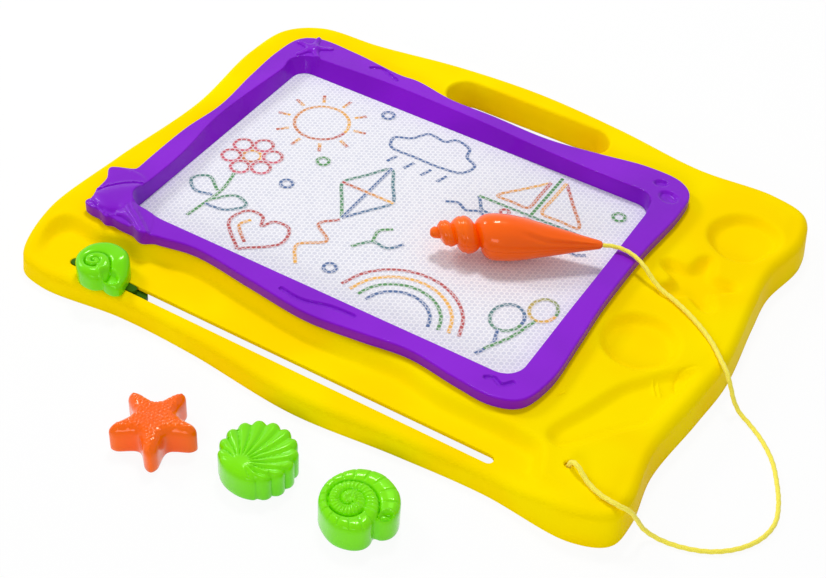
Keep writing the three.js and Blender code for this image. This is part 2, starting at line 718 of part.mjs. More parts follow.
function makeBezel() {
  const outer = smoothOutline(bezelOutlineShares.map(railPoint), bezelSteps);
  const outerRing = (distance, height) => ({ outline: inset(outer, distance), height });
  const innerRing = (distance, height) => ({ outline: inset(windowOutline, -distance), height });
  const lip = screenHeight + seatGap;
  const shell = ringSolid([
    outerRing(0, bezelSeat),
    ...bezelOuterEdgeShares.map(([inShare, downShare]) => (
      outerRing(bezelEdgeRadius * inShare, bezelHeight - bezelEdgeRadius * downShare))),
    ...bezelInnerEdgeShares.map(([outShare, downShare]) => (
      innerRing(windowSlope + bezelEdgeRadius * outShare, bezelHeight - bezelEdgeRadius * downShare))),
    innerRing(windowSlope * windowRimShare, bezelHeight - bezelEdgeRadius),
    innerRing(0, lip),
    innerRing(bezelWall, lip),
    innerRing(windowSlope + bezelWall, bezelRoof),
    outerRing(bezelWall, bezelRoof),
    outerRing(bezelWall, bezelSeat),
  ], windowOutline.map((point) => point.angle()));
  const bosses = bezelScrewPlaces.map((place) => post(bossRadius, place, bezelSeat, bezelRoof));
  const holes = bezelScrewPlaces.map((place) => post(screwHoleRadius, place, plateauHeight - overrun,
    bezelRoof - seatGap));
  const conchRoom = slab(inset(windowOutline, -pocketMargin), bezelSeat - overrun, bezelRoof);
  const windowRoom = edgedBlock(windowOutline, [
    [0, 0], [0, screenHeight], [-windowSlope, bezelHeight], [-windowSlope, bezelHeight + overrun],
  ]);
  const whole = joined([shell, cut(conchRelief(), [conchRoom, windowRoom]), starRelief(), ...bosses]);
  return meshOf('bezel', cut(whole, [...holes, ...grooveShares.map(bezelGroove)]), materials.purple);
}

function makePanel() {
  const layer = (name, bottom, top, material) => meshOf(name, slab(panelOutline, bottom, top), material);
  return [
    layer('screen_back_film', backFilmBottom, backFilmTop, materials.film),
    layer('screen_honeycomb', coreBottom, coreTop, materials.core),
    layer('screen_front_film', coreTop + seatGap, screenHeight, materials.film),
  ];
}

function makeBezelScrews() {
  return bezelScrewPlaces.map((place, index) => (
    screw(`bezel_screw_${index + 1}`, place, plateauUnderside, bezelRoof - plateauUnderside - 2 * seatGap)));
}

// The eraser's arm: a carriage under the slot, a stem in it and a bar that runs back to the guide
const stemPlace = [slotPlace[0] - slotLength / 2 + stemClearance + stemLength / 2, slotPlace[1]];
const eraserTravel = slotLength - stemLength - 2 * stemClearance;
const eraserMagnetLength = windowDepth - 2 * windowCornerRadius;
const eraserMagnetTop = backFilmBottom - eraserMagnetGap;
const eraserScrewPlaces = [-1, 1].map((side) => [stemPlace[0] + side * eraserScrewSpacing / 2, stemPlace[1]]);

function makeEraser() {
  const [x, y] = stemPlace;
  const tongueEnd = guideFront - armClearance;
  const barEnd = guideFront - guideReach - armClearance;
  const middle = (from, to) => [x, (from + to) / 2];
  const whole = joined([
    slab(placed(stadium(carriageLength, carriageDepth), stemPlace), armBottom, armTop),
    slab(placed(stadium(stemLength, slotWidth - 2 * stemClearance), stemPlace), armBottom, troughFloorHeight),
    box(armWidth, barEnd - y, middle(y, barEnd), armBottom, armTop),
    box(armWidth, tongueEnd - y, middle(y, tongueEnd), armTop - tongueThickness, armTop),
  ]);
  const arm = cut(whole, [
    box(eraserMagnetWidth + 2 * seatGap, eraserMagnetLength + 2 * seatGap, [x, 0],
      armTop - eraserMagnetSink, armTop + overrun),
    ...eraserScrewPlaces.map((place) => post(screwHoleRadius, place, 0, plateauHeight)),
  ]);
  const magnet = box(eraserMagnetWidth, eraserMagnetLength, [x, 0],
    armTop - eraserMagnetSink + seatGap, eraserMagnetTop);
  return [
    meshOf('eraser_arm', arm, materials.green),
    meshOf('eraser_magnet', magnet, materials.magnet),
    makeKnob(),
    ...eraserScrewPlaces.map((place, index) => (
      screw(`eraser_screw_${index + 1}`, place, armBottom, knobSeat + knobHeight / 2 - armBottom))),
  ];
}

const snailDomeShares = [
  [0.94, 0], [1, 0.08], [1, 0.70], [0.96, 0.84], [0.86, 0.94], [0.66, 1],
];

// A snail: a whorl with a domed top, a spiral groove round its crown and a notch below its mouth
const mouthShare = 0.17;
const mouthPlaceShares = [0.72, 0.26];
const mouthFloorShare = 0.8;

function snail(radius, height) {
  const dome = domedBlock(nautilusOutline(radius), snailDomeShares.map(([share, heightShare]) => [
    share, heightShare * height]));
  const mouthPlace = mouthPlaceShares.map((share) => radius * share);
  const mouth = post(radius * mouthShare, mouthPlace, height * mouthFloorShare, height + overrun);
  return cut(dome, [spiralGroove(radius, height), mouth]);
}

// The knob is turned on its stem, so its screw holes are turned back
function makeKnob() {
  const turn = THREE.MathUtils.degToRad(knobTurn);
  const holes = [-1, 1].map((side) => {
    const place = new THREE.Vector2(side * eraserScrewSpacing / 2, 0).rotateAround(new THREE.Vector2(), -turn);
    return post(screwHoleRadius, [place.x, place.y], -overrun, knobHeight / 2 + 2 * seatGap);
  });
  const knob = meshOf('eraser_knob', cut(snail(knobRadius, knobHeight), holes), materials.green);
  knob.position.set(...stemPlace, knobSeat);
  knob.rotation.z = turn;
  return knob;
}

function makeRearGuide() {
  const lipTop = armTop - tongueThickness - seatGap;
  const lipBottom = lipTop - guideWall;
  const beam = (from, to, bottom, top) => box(windowLength, to - from, [0, (from + to) / 2], bottom, top);
  const whole = joined([
    beam(guideFront - guideReach, guideFront + guideWall, lipBottom, lipTop),
    beam(guideFront, guideFront + guideWall, lipBottom, guideHeight),
    beam(guideFront, guideFront + guideWall + guideFlangeDepth, guideHeight - guideWall, guideHeight),
  ]);
  const holes = guideScrewPlaces.map((place) => post(screwHoleRadius, place, 0, plateauHeight));
  return [
    meshOf('rear_guide', cut(whole, holes), materials.yellow),
    ...guideScrewPlaces.map((place, index) => (
      screw(`guide_screw_${index + 1}`, place, guideHeight - guideWall, ledgeBottom - armBottom))),
  ];
}

// The pen's nose lies one pen's length before the point where the cord begins
function penNose() {
  const yaw = THREE.MathUtils.degToRad(penYaw);
  const [x, y] = cordRoute[0];
  const reach = penLength + seatGap;
  return [x - reach * Math.cos(yaw), y - reach * Math.sin(yaw)];
}

// The hollow of the pen: a bore round the magnet, a belly one wall thick and a seat for the knot,
// by shares of the pen's length and radius
const bellyShares = [[0.31, 0.9], [0.41, 1], [0.62, 0.77], [0.76, 0.55]];
const knotAlongShare = 0.86;
const knotProfileShares = [[0, -1.6], [0.7, -1.3], [1, -0.6]];

function makePen() {
  const magnetEnd = penMagnetInset + penMagnetLength;
  const magnetBore = penMagnetRadius + seatGap;
  const cordBore = cordDiameter / 2 + seatGap;
  const knotAlong = knotAlongShare * penLength;
  const belly = bellyShares.map(([along, radius]) => [radius * penRadius - penWall, along * penLength]);
  const whole = turnedLying(penProfile(), penSides).subtract(turnedLying([
    [0, penMagnetInset - seatGap], [magnetBore, penMagnetInset - seatGap], [magnetBore, magnetEnd + seatGap],
    [penMagnetRadius, magnetEnd + seatGap], [penMagnetRadius, belly[0][1] - penWall], ...belly,
    [penKnotRadius + seatGap, knotAlong], [cordBore, knotAlong + penKnotRadius],
    [cordBore, penLength + overrun], [0, penLength + overrun],
  ], penSides));
  const magnet = turnedLying([
    [0, penMagnetInset], [penMagnetRadius, penMagnetInset], [penMagnetRadius, magnetEnd], [0, magnetEnd],
  ], roundSides);
  const knot = turnedLying([
    ...knotProfileShares.map(([radius, along]) => [radius * penKnotRadius, knotAlong + along * penKnotRadius]),
    [penKnotRadius, knotAlong - seatGap], [cordDiameter / 2, knotAlong + penKnotRadius - 2 * seatGap],
    [cordDiameter / 2, penLength], [0, penLength],
  ], roundSides);
  const half = (side) => whole.subtract(
    box(2 * penLength, 2 * penLength, [penLength / 2, 0], ...[-side * penSeam / 2, side * penLength].sort(
      (low, high) => low - high)));
  const pen = new THREE.Group();
  pen.add(
    meshOf('pen_upper_shell', half(-1), materials.orange),
    meshOf('pen_lower_shell', half(1), materials.orange),
    meshOf('pen_magnet', magnet, materials.magnet),
    meshOf('pen_cord_knot', knot, materials.cord),
  );
  pen.position.set(...penNose(), screenHeight + penRadius + seatGap);
  pen.rotation.z = THREE.MathUtils.degToRad(penYaw);
  return pen;
}

// The knot that stops the cord under the tray, by shares of its radius
const boardKnotShares = [[0, -1.8], [0.7, -1.5], [1, -0.9], [0.8, -0.3], [0.75, 0], [0, 0]];

function makeCord() {
  const points = cordRoute.map((point) => new THREE.Vector3(...point));
  const knotTop = plateauUnderside - seatGap;
  const knotProfile = boardKnotShares.map(([radius, rise]) => [
    radius * knotRadius, knotTop + rise * knotRadius]);
  return [
    meshOf('pen_cord', bar(points, cordDiameter / 2, cordSides, cordSteps), materials.cord),
    meshOf('board_cord_knot', turned(knotProfile, cordHolePlace, roundSides), materials.cord),
  ];
}

// A stamp: a hollow body, open below, with a magnet plate set just inside its rim
const magnetSeatShare = 0.8;
const magnetShare = 0.76;
const hollowShares = [[0.68, 0.5], [0.42, 0.72]];

function stamp(name, body, outline, place, turn, material) {
  const plateTop = stampMagnetLift + stampMagnetThickness;
  const seat = plateTop + seatGap;
  const room = domedBlock(outline, [
    [magnetSeatShare, -overrun], [magnetSeatShare, seat], [hollowShares[0][0], seat],
    ...hollowShares.map(([share, heightShare]) => [share, heightShare * stampHeight]),
  ]);
  const group = new THREE.Group();
  group.add(
    meshOf(`${name}_stamp`, body.subtract(room), material),
    meshOf(`${name}_magnet`, slab(scaled(outline, magnetShare), stampMagnetLift, plateTop), materials.magnet),
  );
  group.position.set(...trayPoint(place), 0);
  group.rotation.z = THREE.MathUtils.degToRad(turn);
  return group;
}

const starDomeShares = [[0.97, 0], [1, 0.05], [1, 0.76], [0.93, 0.88], [0.7, 0.96], [0.35, 1]];
const scallopDomeShares = [[0.97, 0], [1, 0.05], [1, 0.74], [0.94, 0.87], [0.8, 0.95], [0.45, 1]];
const scallopHubShare = -0.55;

function makeStamps() {
  const byHeight = (shares) => shares.map(([share, heightShare]) => [share, heightShare * stampHeight]);
  const star = starOutline(starRadius, hollowSteps);
  const scallop = scallopOutline(scallopRadius, hollowSteps);
  const nautilus = nautilusOutline(nautilusRadius, hollowSteps);
  const hub = new THREE.Vector2(scallopHubShare * scallopRadius, 0);
  const starBody = domedBlock(starOutline(starRadius), byHeight(starDomeShares));
  const scallopBody = domedBlock(scallopOutline(scallopRadius), byHeight(scallopDomeShares), hub);
  const nautilusBody = snail(nautilusRadius, stampHeight);
  return [
    stamp('star', starBody, star, starStampShares, starStampTurn, materials.orange),
    stamp('scallop', scallopBody, scallop, scallopStampShares, scallopStampTurn, materials.green),
    stamp('nautilus', nautilusBody, nautilus, nautilusStampShares, nautilusStampTurn, materials.green),
  ];
}

const board = new THREE.Group();
board.add(
  makeTray(), ...makePanel(), makeBezel(), ...makeBezelScrews(), ...makeEraser(), ...makeRearGuide(),
  makePen(), ...makeCord(), ...makeStamps(),
);

// The origin is the centre of the footprint of all that isn't a loose cord, on the table
const footprint = new THREE.Box3();
board.updateMatrixWorld(true);
board.traverse((piece) => {
  if (piece.isMesh && !piece.name.includes('cord')) footprint.expandByObject(piece, true);
});
const centre = footprint.getCenter(new THREE.Vector3());
board.position.set(-centre.x, -centre.y, -footprint.min.z);
board.updateMatrixWorld(true);

export default board;
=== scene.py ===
"""A magnetic drawing board for children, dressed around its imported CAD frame.

Plans are drawn in millimetres from the centre of the window: +X runs along the eraser slot, +Y to the
back edge and +Z up from the table. Each piece is moved into the frame, in metres, as it is made.
"""

import logging
import math
from dataclasses import dataclass, field
from enum import Enum
from typing import Callable, Iterator, Sequence

import bpy
import numpy as np
from mathutils import Matrix, Vector
from mathutils.geometry import delaunay_2d_cdt

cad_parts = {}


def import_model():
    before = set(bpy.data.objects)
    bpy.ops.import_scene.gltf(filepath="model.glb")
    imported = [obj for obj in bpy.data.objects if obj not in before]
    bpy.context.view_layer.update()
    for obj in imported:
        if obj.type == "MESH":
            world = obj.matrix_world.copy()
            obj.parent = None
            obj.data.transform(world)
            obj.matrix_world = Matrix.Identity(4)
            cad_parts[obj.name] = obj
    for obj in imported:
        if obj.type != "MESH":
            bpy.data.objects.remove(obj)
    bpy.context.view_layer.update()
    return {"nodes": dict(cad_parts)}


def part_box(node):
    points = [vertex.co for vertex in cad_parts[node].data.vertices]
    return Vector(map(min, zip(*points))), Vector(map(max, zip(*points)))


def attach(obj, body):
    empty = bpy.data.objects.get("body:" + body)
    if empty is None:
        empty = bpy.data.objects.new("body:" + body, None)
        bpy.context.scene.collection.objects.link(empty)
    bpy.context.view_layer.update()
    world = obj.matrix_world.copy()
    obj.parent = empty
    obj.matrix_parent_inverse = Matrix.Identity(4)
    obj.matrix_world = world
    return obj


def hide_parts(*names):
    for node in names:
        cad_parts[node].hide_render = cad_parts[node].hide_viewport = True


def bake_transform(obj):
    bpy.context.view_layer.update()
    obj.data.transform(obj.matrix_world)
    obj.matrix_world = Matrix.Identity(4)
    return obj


log = logging.getLogger("drawing_board")

MM = 0.001
TURN = 2 * math.pi
TINY = 1e-12  # stands in for a length or an area of nothing
HAIR = 1e-4  # a length too short to see, in millimetres
BLOCK = 3000  # how many points are measured at once
SPAN_STEPS = 24  # how many points a smooth curve is traced by from one anchor to the next
WHITE = (1, 1, 1, 1)

Array = np.ndarray
Material, Node, Piece, Socket, Tree = (
    bpy.types.Material, bpy.types.Node, bpy.types.Object, bpy.types.NodeSocket, bpy.types.NodeTree,
)
Pair = tuple[float, float]
Triple = tuple[float, float, float]
Floats = Sequence[float]
Pairs = Sequence[Floats]
Profile = Sequence[Pair]
Colour = tuple[int, int, int]
Rings = list[tuple[Array, Array | float]]
norm = np.linalg.norm


class Body(Enum):
    """The bodies of the frame that pieces ride on."""

    BOARD = "board"
    ERASER = "eraser"
    PEN = "pen"
    STAR = "star"
    SCALLOP = "scallop"
    NAUTILUS = "nautilus"


class Slot(Enum):
    """Names of the record's material slots; each stamp is listed with one, which nothing here reads."""

    TRAY = "tray_plastic"
    BEZEL = "bezel_plastic"
    GREEN = "green_plastic"
    ORANGE = "orange_plastic"
    FILM = "screen_film"
    CORD = "cord"


# ---- plan geometry


def curve(anchors: Pairs, count: int, closed: bool = True) -> Array:
    """Points evenly along a smooth curve through its anchors.

    Args:
        anchors: Points in two or three dimensions.
        count: How many points to return.
        closed: Whether the curve returns to its first anchor.

    Returns:
        An array of count points.
    """
    points = np.asarray(anchors, float)
    if closed:
        ring = np.vstack([points[-1:], points, points[:2]])
    else:
        ring = np.vstack([2 * points[:1] - points[1:2], points, 2 * points[-1:] - points[-2:-1]])
    share = np.linspace(0, 1, SPAN_STEPS, endpoint=False)[:, None]
    pieces = []
    for first in range(len(ring) - 3):
        a, b, c, d = ring[first : first + 4]
        ab, bc, cd = (max(float(norm(q - p)) ** 0.5, HAIR) for p, q in ((a, b), (b, c), (c, d)))
        leave = ((b - a) / ab - (c - a) / (ab + bc) + (c - b) / bc) * bc
        reach = ((c - b) / bc - (d - b) / (bc + cd) + (d - c) / cd) * bc
        pieces.append(
            (2 * share**3 - 3 * share**2 + 1) * b
            + (share**3 - 2 * share**2 + share) * leave
            + (3 * share**2 - 2 * share**3) * c
            + (share**3 - share**2) * reach
        )
    trace = np.vstack([*pieces, ring[-2:-1]])
    return spread_evenly(trace, count, closed)


def spread_evenly(trace: Array, count: int, closed: bool) -> Array:
    """Points evenly along a fine trace.

    Args:
        trace: The trace's points; a closed one ends where it began.
        count: How many points to return.
        closed: Whether to leave out the last point, which is the first.

    Returns:
        An array of count points.
    """
    along = np.concatenate([[0], np.cumsum(norm(np.diff(trace, axis=0), axis=1))])
    goals = np.linspace(0, along[-1], count, endpoint=not closed)
    return np.column_stack([np.interp(goals, along, trace[:, axis]) for axis in range(trace.shape[1])])


def smooth_round(values: Array, reach: int, spread: float) -> Array:
    """Values round a loop, smoothed along it.

    Args:
        values: The values, of which the first follows the last.
        reach: How many neighbours on each side count.
        spread: How many neighbours away the weight has fallen to about 0.6.

    Returns:
        As many values.
    """
    weight = np.exp(-((np.arange(-reach, reach + 1) / spread) ** 2) / 2)
    wrapped = np.concatenate([values[-reach:], values, values[:reach]])
    return np.convolve(wrapped, weight / weight.sum(), "valid")


def round_turn(count: int) -> Array:
    """Angles evenly round a whole turn, in radians."""
    return np.linspace(0, TURN, count, endpoint=False)


def polar(reach: float | Array, angle: Array) -> Array:
    """Plan points at a reach and an angle, in radians, from the origin."""
    return np.column_stack([reach * np.cos(angle), reach * np.sin(angle)])


def shrunk(loop: Array, distance: float | Array) -> Array:
    """Moves a loop square to itself.

    Args:
        loop: A counter-clockwise loop.
        distance: How far it moves, for all points or each; inwards where it is positive.

    Returns:
        The moved loop.
    """
    along = np.roll(loop, -1, axis=0) - np.roll(loop, 1, axis=0)
    along /= norm(along, axis=1)[:, None]
    return loop + np.asarray(distance).reshape(-1, 1) * np.column_stack([-along[:, 1], along[:, 0]])


def round_over(loop: Array, radius: float, levels: float | Array, angles: Array,
               inset: float | Array = 0.0, side: int = 1) -> Rings:
    """Rings that turn a level top over into an upright side.

    Args:
        loop: The loop of the upright side.
        radius: The round's radius.
        levels: The heights of the top.
        angles: How far round each ring lies, up to a quarter turn, in radians.
        inset: How far inside the loop the side lies.
        side: 1 where the top lies inside the loop and -1 where it lies outside.

    Returns:
        Each ring's plan and heights.
    """
    return [
        (shrunk(loop, inset + side * radius * (1 - math.sin(angle))), levels - radius * (1 - math.cos(angle)))
        for angle in angles
    ]


def turned(loop: Array, degrees: float, place: Floats = (0, 0)) -> Array:
    """Turns a plan about the origin, then moves it.

    Args:
        loop: Plan points.
        degrees: The turn, counter-clockwise.
        place: Where the origin moves to.

    Returns:
        The moved points.
    """
    angle = math.radians(degrees)
    x, y = loop[:, 0], loop[:, 1]
    return np.column_stack([
        x * math.cos(angle) - y * math.sin(angle) + place[0],
        x * math.sin(angle) + y * math.cos(angle) + place[1],
    ])


def rounded_rectangle(length: float, depth: float, radius: float, step: float) -> Array:
    """A counter-clockwise rectangle with round corners.

    Args:
        length: Its length along X.
        depth: Its depth along Y.
        radius: The radius of its corners.
        step: About how far apart its points lie.

    Returns:
        The loop, about the origin.
    """
    arc = np.linspace(0, TURN / 4, 13)
    corners = []
    for quarter, (side_x, side_y) in enumerate(((1, -1), (1, 1), (-1, 1), (-1, -1))):
        angle = arc + (quarter - 1) * TURN / 4
        centre = (side_x * (length / 2 - radius), side_y * (depth / 2 - radius))
        corners.append(polar(radius, angle) + centre)
    trace = np.vstack([*corners, corners[0][:1]])
    around = 2 * (length + depth)
    return spread_evenly(trace, round(around / step), True)


def stadium(length: float, depth: float, step: float) -> Array:
    """A counter-clockwise slot shape: two straight sides with round ends."""
    return rounded_rectangle(length, depth, depth / 2 - HAIR, step)


def blocks(numbers: Array) -> Iterator[Array]:
    """Splits a row of numbers, so that tables of gaps between points and a loop stay small."""
    for first in range(0, len(numbers), BLOCK):
        yield numbers[first : first + BLOCK]


def depth_in(points: Array, loop: Array, reach: float = math.inf) -> Array:
    """How deep points lie inside a loop; outside it the depth is negative.

    Args:
        points: Plan points.
        loop: A closed loop.
        reach: Past this distance outside the loop's box, the depth is only known as minus the reach.

    Returns:
        One depth per point.
    """
    result = np.full(len(points), -float(min(reach, 1e6)))
    low, high = loop.min(axis=0) - reach, loop.max(axis=0) + reach
    near = np.flatnonzero(((points > low) & (points < high)).all(axis=1))
    side = np.roll(loop, -1, axis=0) - loop
    span = np.maximum((side**2).sum(axis=1), TINY)
    rise = np.where(np.abs(side[:, 1]) < TINY, TINY, side[:, 1])
    after = loop[:, 1] + side[:, 1]
    for chosen in blocks(near):
        x, y = points[chosen, 0][:, None], points[chosen, 1][:, None]
        from_x, from_y = x - loop[:, 0], y - loop[:, 1]
        share = np.clip((from_x * side[:, 0] + from_y * side[:, 1]) / span, 0, 1)
        gap = (from_x - share * side[:, 0]) ** 2 + (from_y - share * side[:, 1]) ** 2
        crosses = (loop[:, 1] > y) != (after > y)
        right = x < loop[:, 0] + from_y * side[:, 0] / rise
        inside = (crosses & right).sum(axis=1) % 2
        result[chosen] = np.sqrt(gap.min(axis=1)) * np.where(inside, 1, -1)
    return result


def ease(value: Array, low: float, high: float) -> Array:
    """A smooth rise from 0 at low to 1 at high."""
    share = np.clip((np.asarray(value, float) - low) / (high - low), 0, 1)
    return share**3 * (10 - 15 * share + 6 * share**2)


def ridge(points: Array, path: Pairs, width: float, taper: float = 0.25) -> Array:
    """A soft ridge along a path, 1 on its crest and 0 away from it.

    Args:
        points: Plan points.
        path: The crest's anchors.
        width: How far off the crest it falls to about a third.
        taper: The share of the path over which each end fades.

    Returns:
        One share of the ridge's height per point.
    """
    line = curve(path, 48, closed=False)
    gap = norm(points[:, None] - line[None], axis=2)
    nearest = gap.argmin(axis=1)
    along = nearest / (len(line) - 1)
    ends = ease(np.minimum(along, 1 - along), -0.01, taper)
    return np.exp(-((gap[np.arange(len(points)), nearest] / width) ** 2)) * ends


def beside(path: Pairs, offsets: Floats, step: float) -> list[Array]:
    """Rows of points along a path and beside it.

    Args:
        path: The path's anchors.
        offsets: How far to the left of the path each row lies.
        step: About how far apart a row's points lie.

    Returns:
        The rows.
    """
    anchors = np.asarray(path, float)
    rough = norm(np.diff(anchors, axis=0), axis=1).sum()
    line = curve(anchors, max(6, round(rough / step)), closed=False)
    ahead = np.gradient(line, axis=0)
    ahead /= norm(ahead, axis=1)[:, None]
    side = np.column_stack([-ahead[:, 1], ahead[:, 0]])
    return [line + offset * side for offset in offsets]


def bump(points: Array, places: Pairs, radius: float) -> Array:
    """Round knobs at the given places, 1 at their middles."""
    gap = norm(points[:, None] - np.asarray(places, float)[None], axis=2).min(axis=1)
    return np.exp(-((gap / radius) ** 2))


def shoulder_drop(depth: Array, radius: float) -> Array:
    """How far a quarter-round rim has fallen below the top at a depth inside its outline."""
    short = np.clip(radius - depth, 0, None)
    return radius - np.sqrt(np.maximum(radius**2 - short**2, 0))


def ellipse_share(points: Array, long: float, short: float) -> Array:
    """How far out points lie in an ellipse about the origin: 1 on its outline."""
    return np.sqrt((points[:, 0] / long) ** 2 + (points[:, 1] / short) ** 2)


def wall_step(depth: Array, high: float, low: float, rim: float, fillet: float) -> Array:
    """The height across a wall with a round rim and a filleted foot.

    Args:
        depth: How far inside the wall's line each point lies.
        high: The height outside.
        low: The height inside.
        rim: The radius of the rim's round.
        fillet: The radius of the foot's fillet.

    Returns:
        One height per point.
    """
    over = np.clip(depth + rim, 0, rim)
    under = np.clip(fillet - depth, 0, fillet)
    return np.where(
        depth <= 0,
        high - rim + np.sqrt(np.maximum(rim**2 - over**2, 0)),
        low + fillet - np.sqrt(np.maximum(fillet**2 - under**2, 0)),
    )


# ---- mesh drafting


class Draft:
    """The points and faces of one piece while it is made, in window millimetres."""

    ROW_GAP = 0.866  # how far apart a grid's rows lie, as a share of its spacing
    CROWD = 0.6  # the cell, as a share of the spacing, within which rows of points keep the grid away
    MARGIN = 0.08  # how far inner points keep from the edges
    MERGE = 1e-5  # points nearer than this become one
    SLIVER = 1e-9  # triangles of less than half this area are left out

    def __init__(self) -> None:
        """Starts with nothing."""
        self.points: list[Array] = []
        self.faces: list[tuple[int, ...]] = []
        self.count = 0

    def place(self, points: Array) -> Array:
        """Adds points and returns their numbers.

        Args:
            points: Plan points.

        Returns:
            Their numbers.
        """
        self.points.append(np.asarray(points, float).reshape(-1, 3))
        first = self.count
        self.count += len(self.points[-1])
        return np.arange(first, self.count)

    def bridge(self, first: Array, second: Array, closed: bool = True, flip: bool = False) -> None:
        """Joins two rows of points by quads, which face up where the second row lies outside the first.

        Args:
            first: The numbers of one row's points.
            second: The numbers of the other row's points.
            closed: Whether the last points are joined to the first.
            flip: Whether the quads look the other way.
        """
        last = len(first) if closed else len(first) - 1
        after = (np.arange(last) + 1) % len(first)
        here = np.arange(last)
        quads = np.column_stack([first[here], second[here], second[after], first[after]])
        if flip:
            quads = quads[:, ::-1]
        self.faces.extend(map(tuple, quads.tolist()))

    def loft(self, rows: Sequence[Array], closed: bool = True, flip: bool = False) -> None:
        """Joins each row of points to the next, as bridge does."""
        for first, second in zip(rows, rows[1:]):
            self.bridge(first, second, closed, flip)

    def cap(self, row: Array, flip: bool = False) -> None:
        """Closes a row with one face."""
        self.faces.append(tuple(row[::-1].tolist() if flip else row.tolist()))

    def hang(self, row: Array, rings: Rings, flip: bool = False) -> Array:
        """Hangs a wall from a row of points.

        Args:
            row: The numbers of the row's points.
            rings: Each further ring's plan and heights.
            flip: Whether the faces look the other way, as in an opening.

        Returns:
            The numbers of the last ring's points.
        """
        for plan, heights in rings:
            levels = np.broadcast_to(np.asarray(heights, float), (len(plan),))
            following = self.place(np.column_stack([plan, levels]))
            self.bridge(row, following, flip=flip)
            row = following
        return row

    def sheet(
        self,
        edge: Array,
        openings: Sequence[Array],
        features: Sequence[Array],
        spacing: float,
        height: Callable[[Array], Array],
        flip: bool = False,
    ) -> list[Array]:
        """A sheet over a region of the plan, with rows of points along its edges and features.

        Args:
            edge: The outer loop, counter-clockwise.
            openings: The loops of its openings.
            features: Loops or lines that the sheet's points follow.
            spacing: How far apart its other points lie.
            height: Gives the heights of plan points.
            flip: Whether the sheet faces down.

        Returns:
            The numbers of the points of the edge and of each opening.
        """
        loops = [edge, *openings]
        inner = np.vstack(features) if features else np.empty((0, 2))
        low, high = edge.min(axis=0), edge.max(axis=0)
        rows = np.arange(low[1], high[1], spacing * self.ROW_GAP)
        columns = np.arange(low[0], high[0], spacing)
        grid = np.stack(np.meshgrid(columns, rows), axis=-1)
        grid[1::2, :, 0] += spacing / 2
        grid = grid.reshape(-1, 2)
        cell = spacing * self.CROWD
        crowd = np.floor((np.vstack([*loops, inner]) - low) / cell).astype(int)
        taken = {
            (column + across, row + up)
            for column, row in {tuple(pair) for pair in crowd.tolist()}
            for across in (-1, 0, 1)
            for up in (-1, 0, 1)
        }
        spots = np.floor((grid - low) / cell).astype(int).tolist()
        grid = grid[[tuple(spot) not in taken for spot in spots]]
        inner = np.vstack([inner, grid])
        kept = depth_in(inner, edge, spacing) > self.MARGIN
        for opening in openings:
            kept &= depth_in(inner, opening, spacing) < -self.MARGIN
        plan = np.vstack([*loops, inner[kept]])
        borders, first = [], 0
        for loop in loops:
            borders += [(first + step, first + (step + 1) % len(loop)) for step in range(len(loop))]
            first += len(loop)
        renumbered, start = np.cumsum(kept) - 1 + first, 0
        for feature in features:
            here = np.arange(start, start + len(feature) - 1)
            both = here[kept[here] & kept[here + 1]]
            borders += list(zip(renumbered[both].tolist(), renumbered[both + 1].tolist()))
            start += len(feature)
        made = delaunay_2d_cdt([Vector(pair) for pair in plan.tolist()], borders, [], 0, self.MERGE, True)
        spots, triangles = np.array([tuple(spot) for spot in made[0]]), np.array(made[2])
        number = np.zeros(len(plan), int)
        for made_index, sources in enumerate(made[3]):
            for source in sources:
                number[source] = made_index
        is_border = np.zeros(len(spots), bool)
        is_border[number[:first]] = True
        doubtful = is_border[triangles].all(axis=1)
        centres = spots[triangles[doubtful]].mean(axis=1)
        inside = depth_in(centres, edge) > 0
        for opening in openings:
            inside &= depth_in(centres, opening) < 0
        doubtful[np.flatnonzero(doubtful)[inside]] = False
        triangles = triangles[~doubtful]
        a, b, c = (spots[triangles[:, corner]] for corner in range(3))
        area = (b[:, 0] - a[:, 0]) * (c[:, 1] - a[:, 1]) - (b[:, 1] - a[:, 1]) * (c[:, 0] - a[:, 0])
        solid = np.abs(area) > self.SLIVER
        triangles = triangles[solid]
        clockwise = (area[solid] < 0) ^ flip
        triangles[clockwise] = triangles[clockwise][:, ::-1]
        numbers = self.place(np.column_stack([spots, height(spots)]))
        self.faces.extend(map(tuple, (triangles + numbers[0]).tolist()))
        ends = np.cumsum([0, *map(len, loops)])
        return [numbers[number[start:end]] for start, end in zip(ends[:-1], ends[1:])]

    def rib(self, x: Array, y: float, thickness: float, foot: float, top: Array) -> None:
        """Adds a rib along X.

        Args:
            x: Places along the rib.
            y: Its middle.
            thickness: Its thickness.
            foot: Its lower edge.
            top: Its upper edge at each place.
        """
        edges = []
        for side, levels in ((-1, top), (-1, foot), (1, foot), (1, top)):
            across, up = np.full(len(x), y + side * thickness / 2), np.broadcast_to(levels, x.shape)
            edges.append(self.place(np.column_stack([x, across, up])))
        self.loft(edges, closed=False)

    def piece(self, name: str, sharp: float) -> Piece:
        """Makes the piece.

        Args:
            name: The piece's name.
            sharp: Edges that bend by more degrees than this stay sharp.

        Returns:
            The piece's object, in the frame.
        """
        points = (np.vstack(self.points) + Workshop.centre) * MM
        mesh = bpy.data.meshes.new(name)
        mesh.from_pydata(points.tolist(), [], self.faces)
        mesh.validate()
        mesh.shade_smooth()
        mesh.set_sharp_from_angle(angle=math.radians(sharp))
        made = bpy.data.objects.new(name, mesh)
        bpy.context.scene.collection.objects.link(made)
        return made


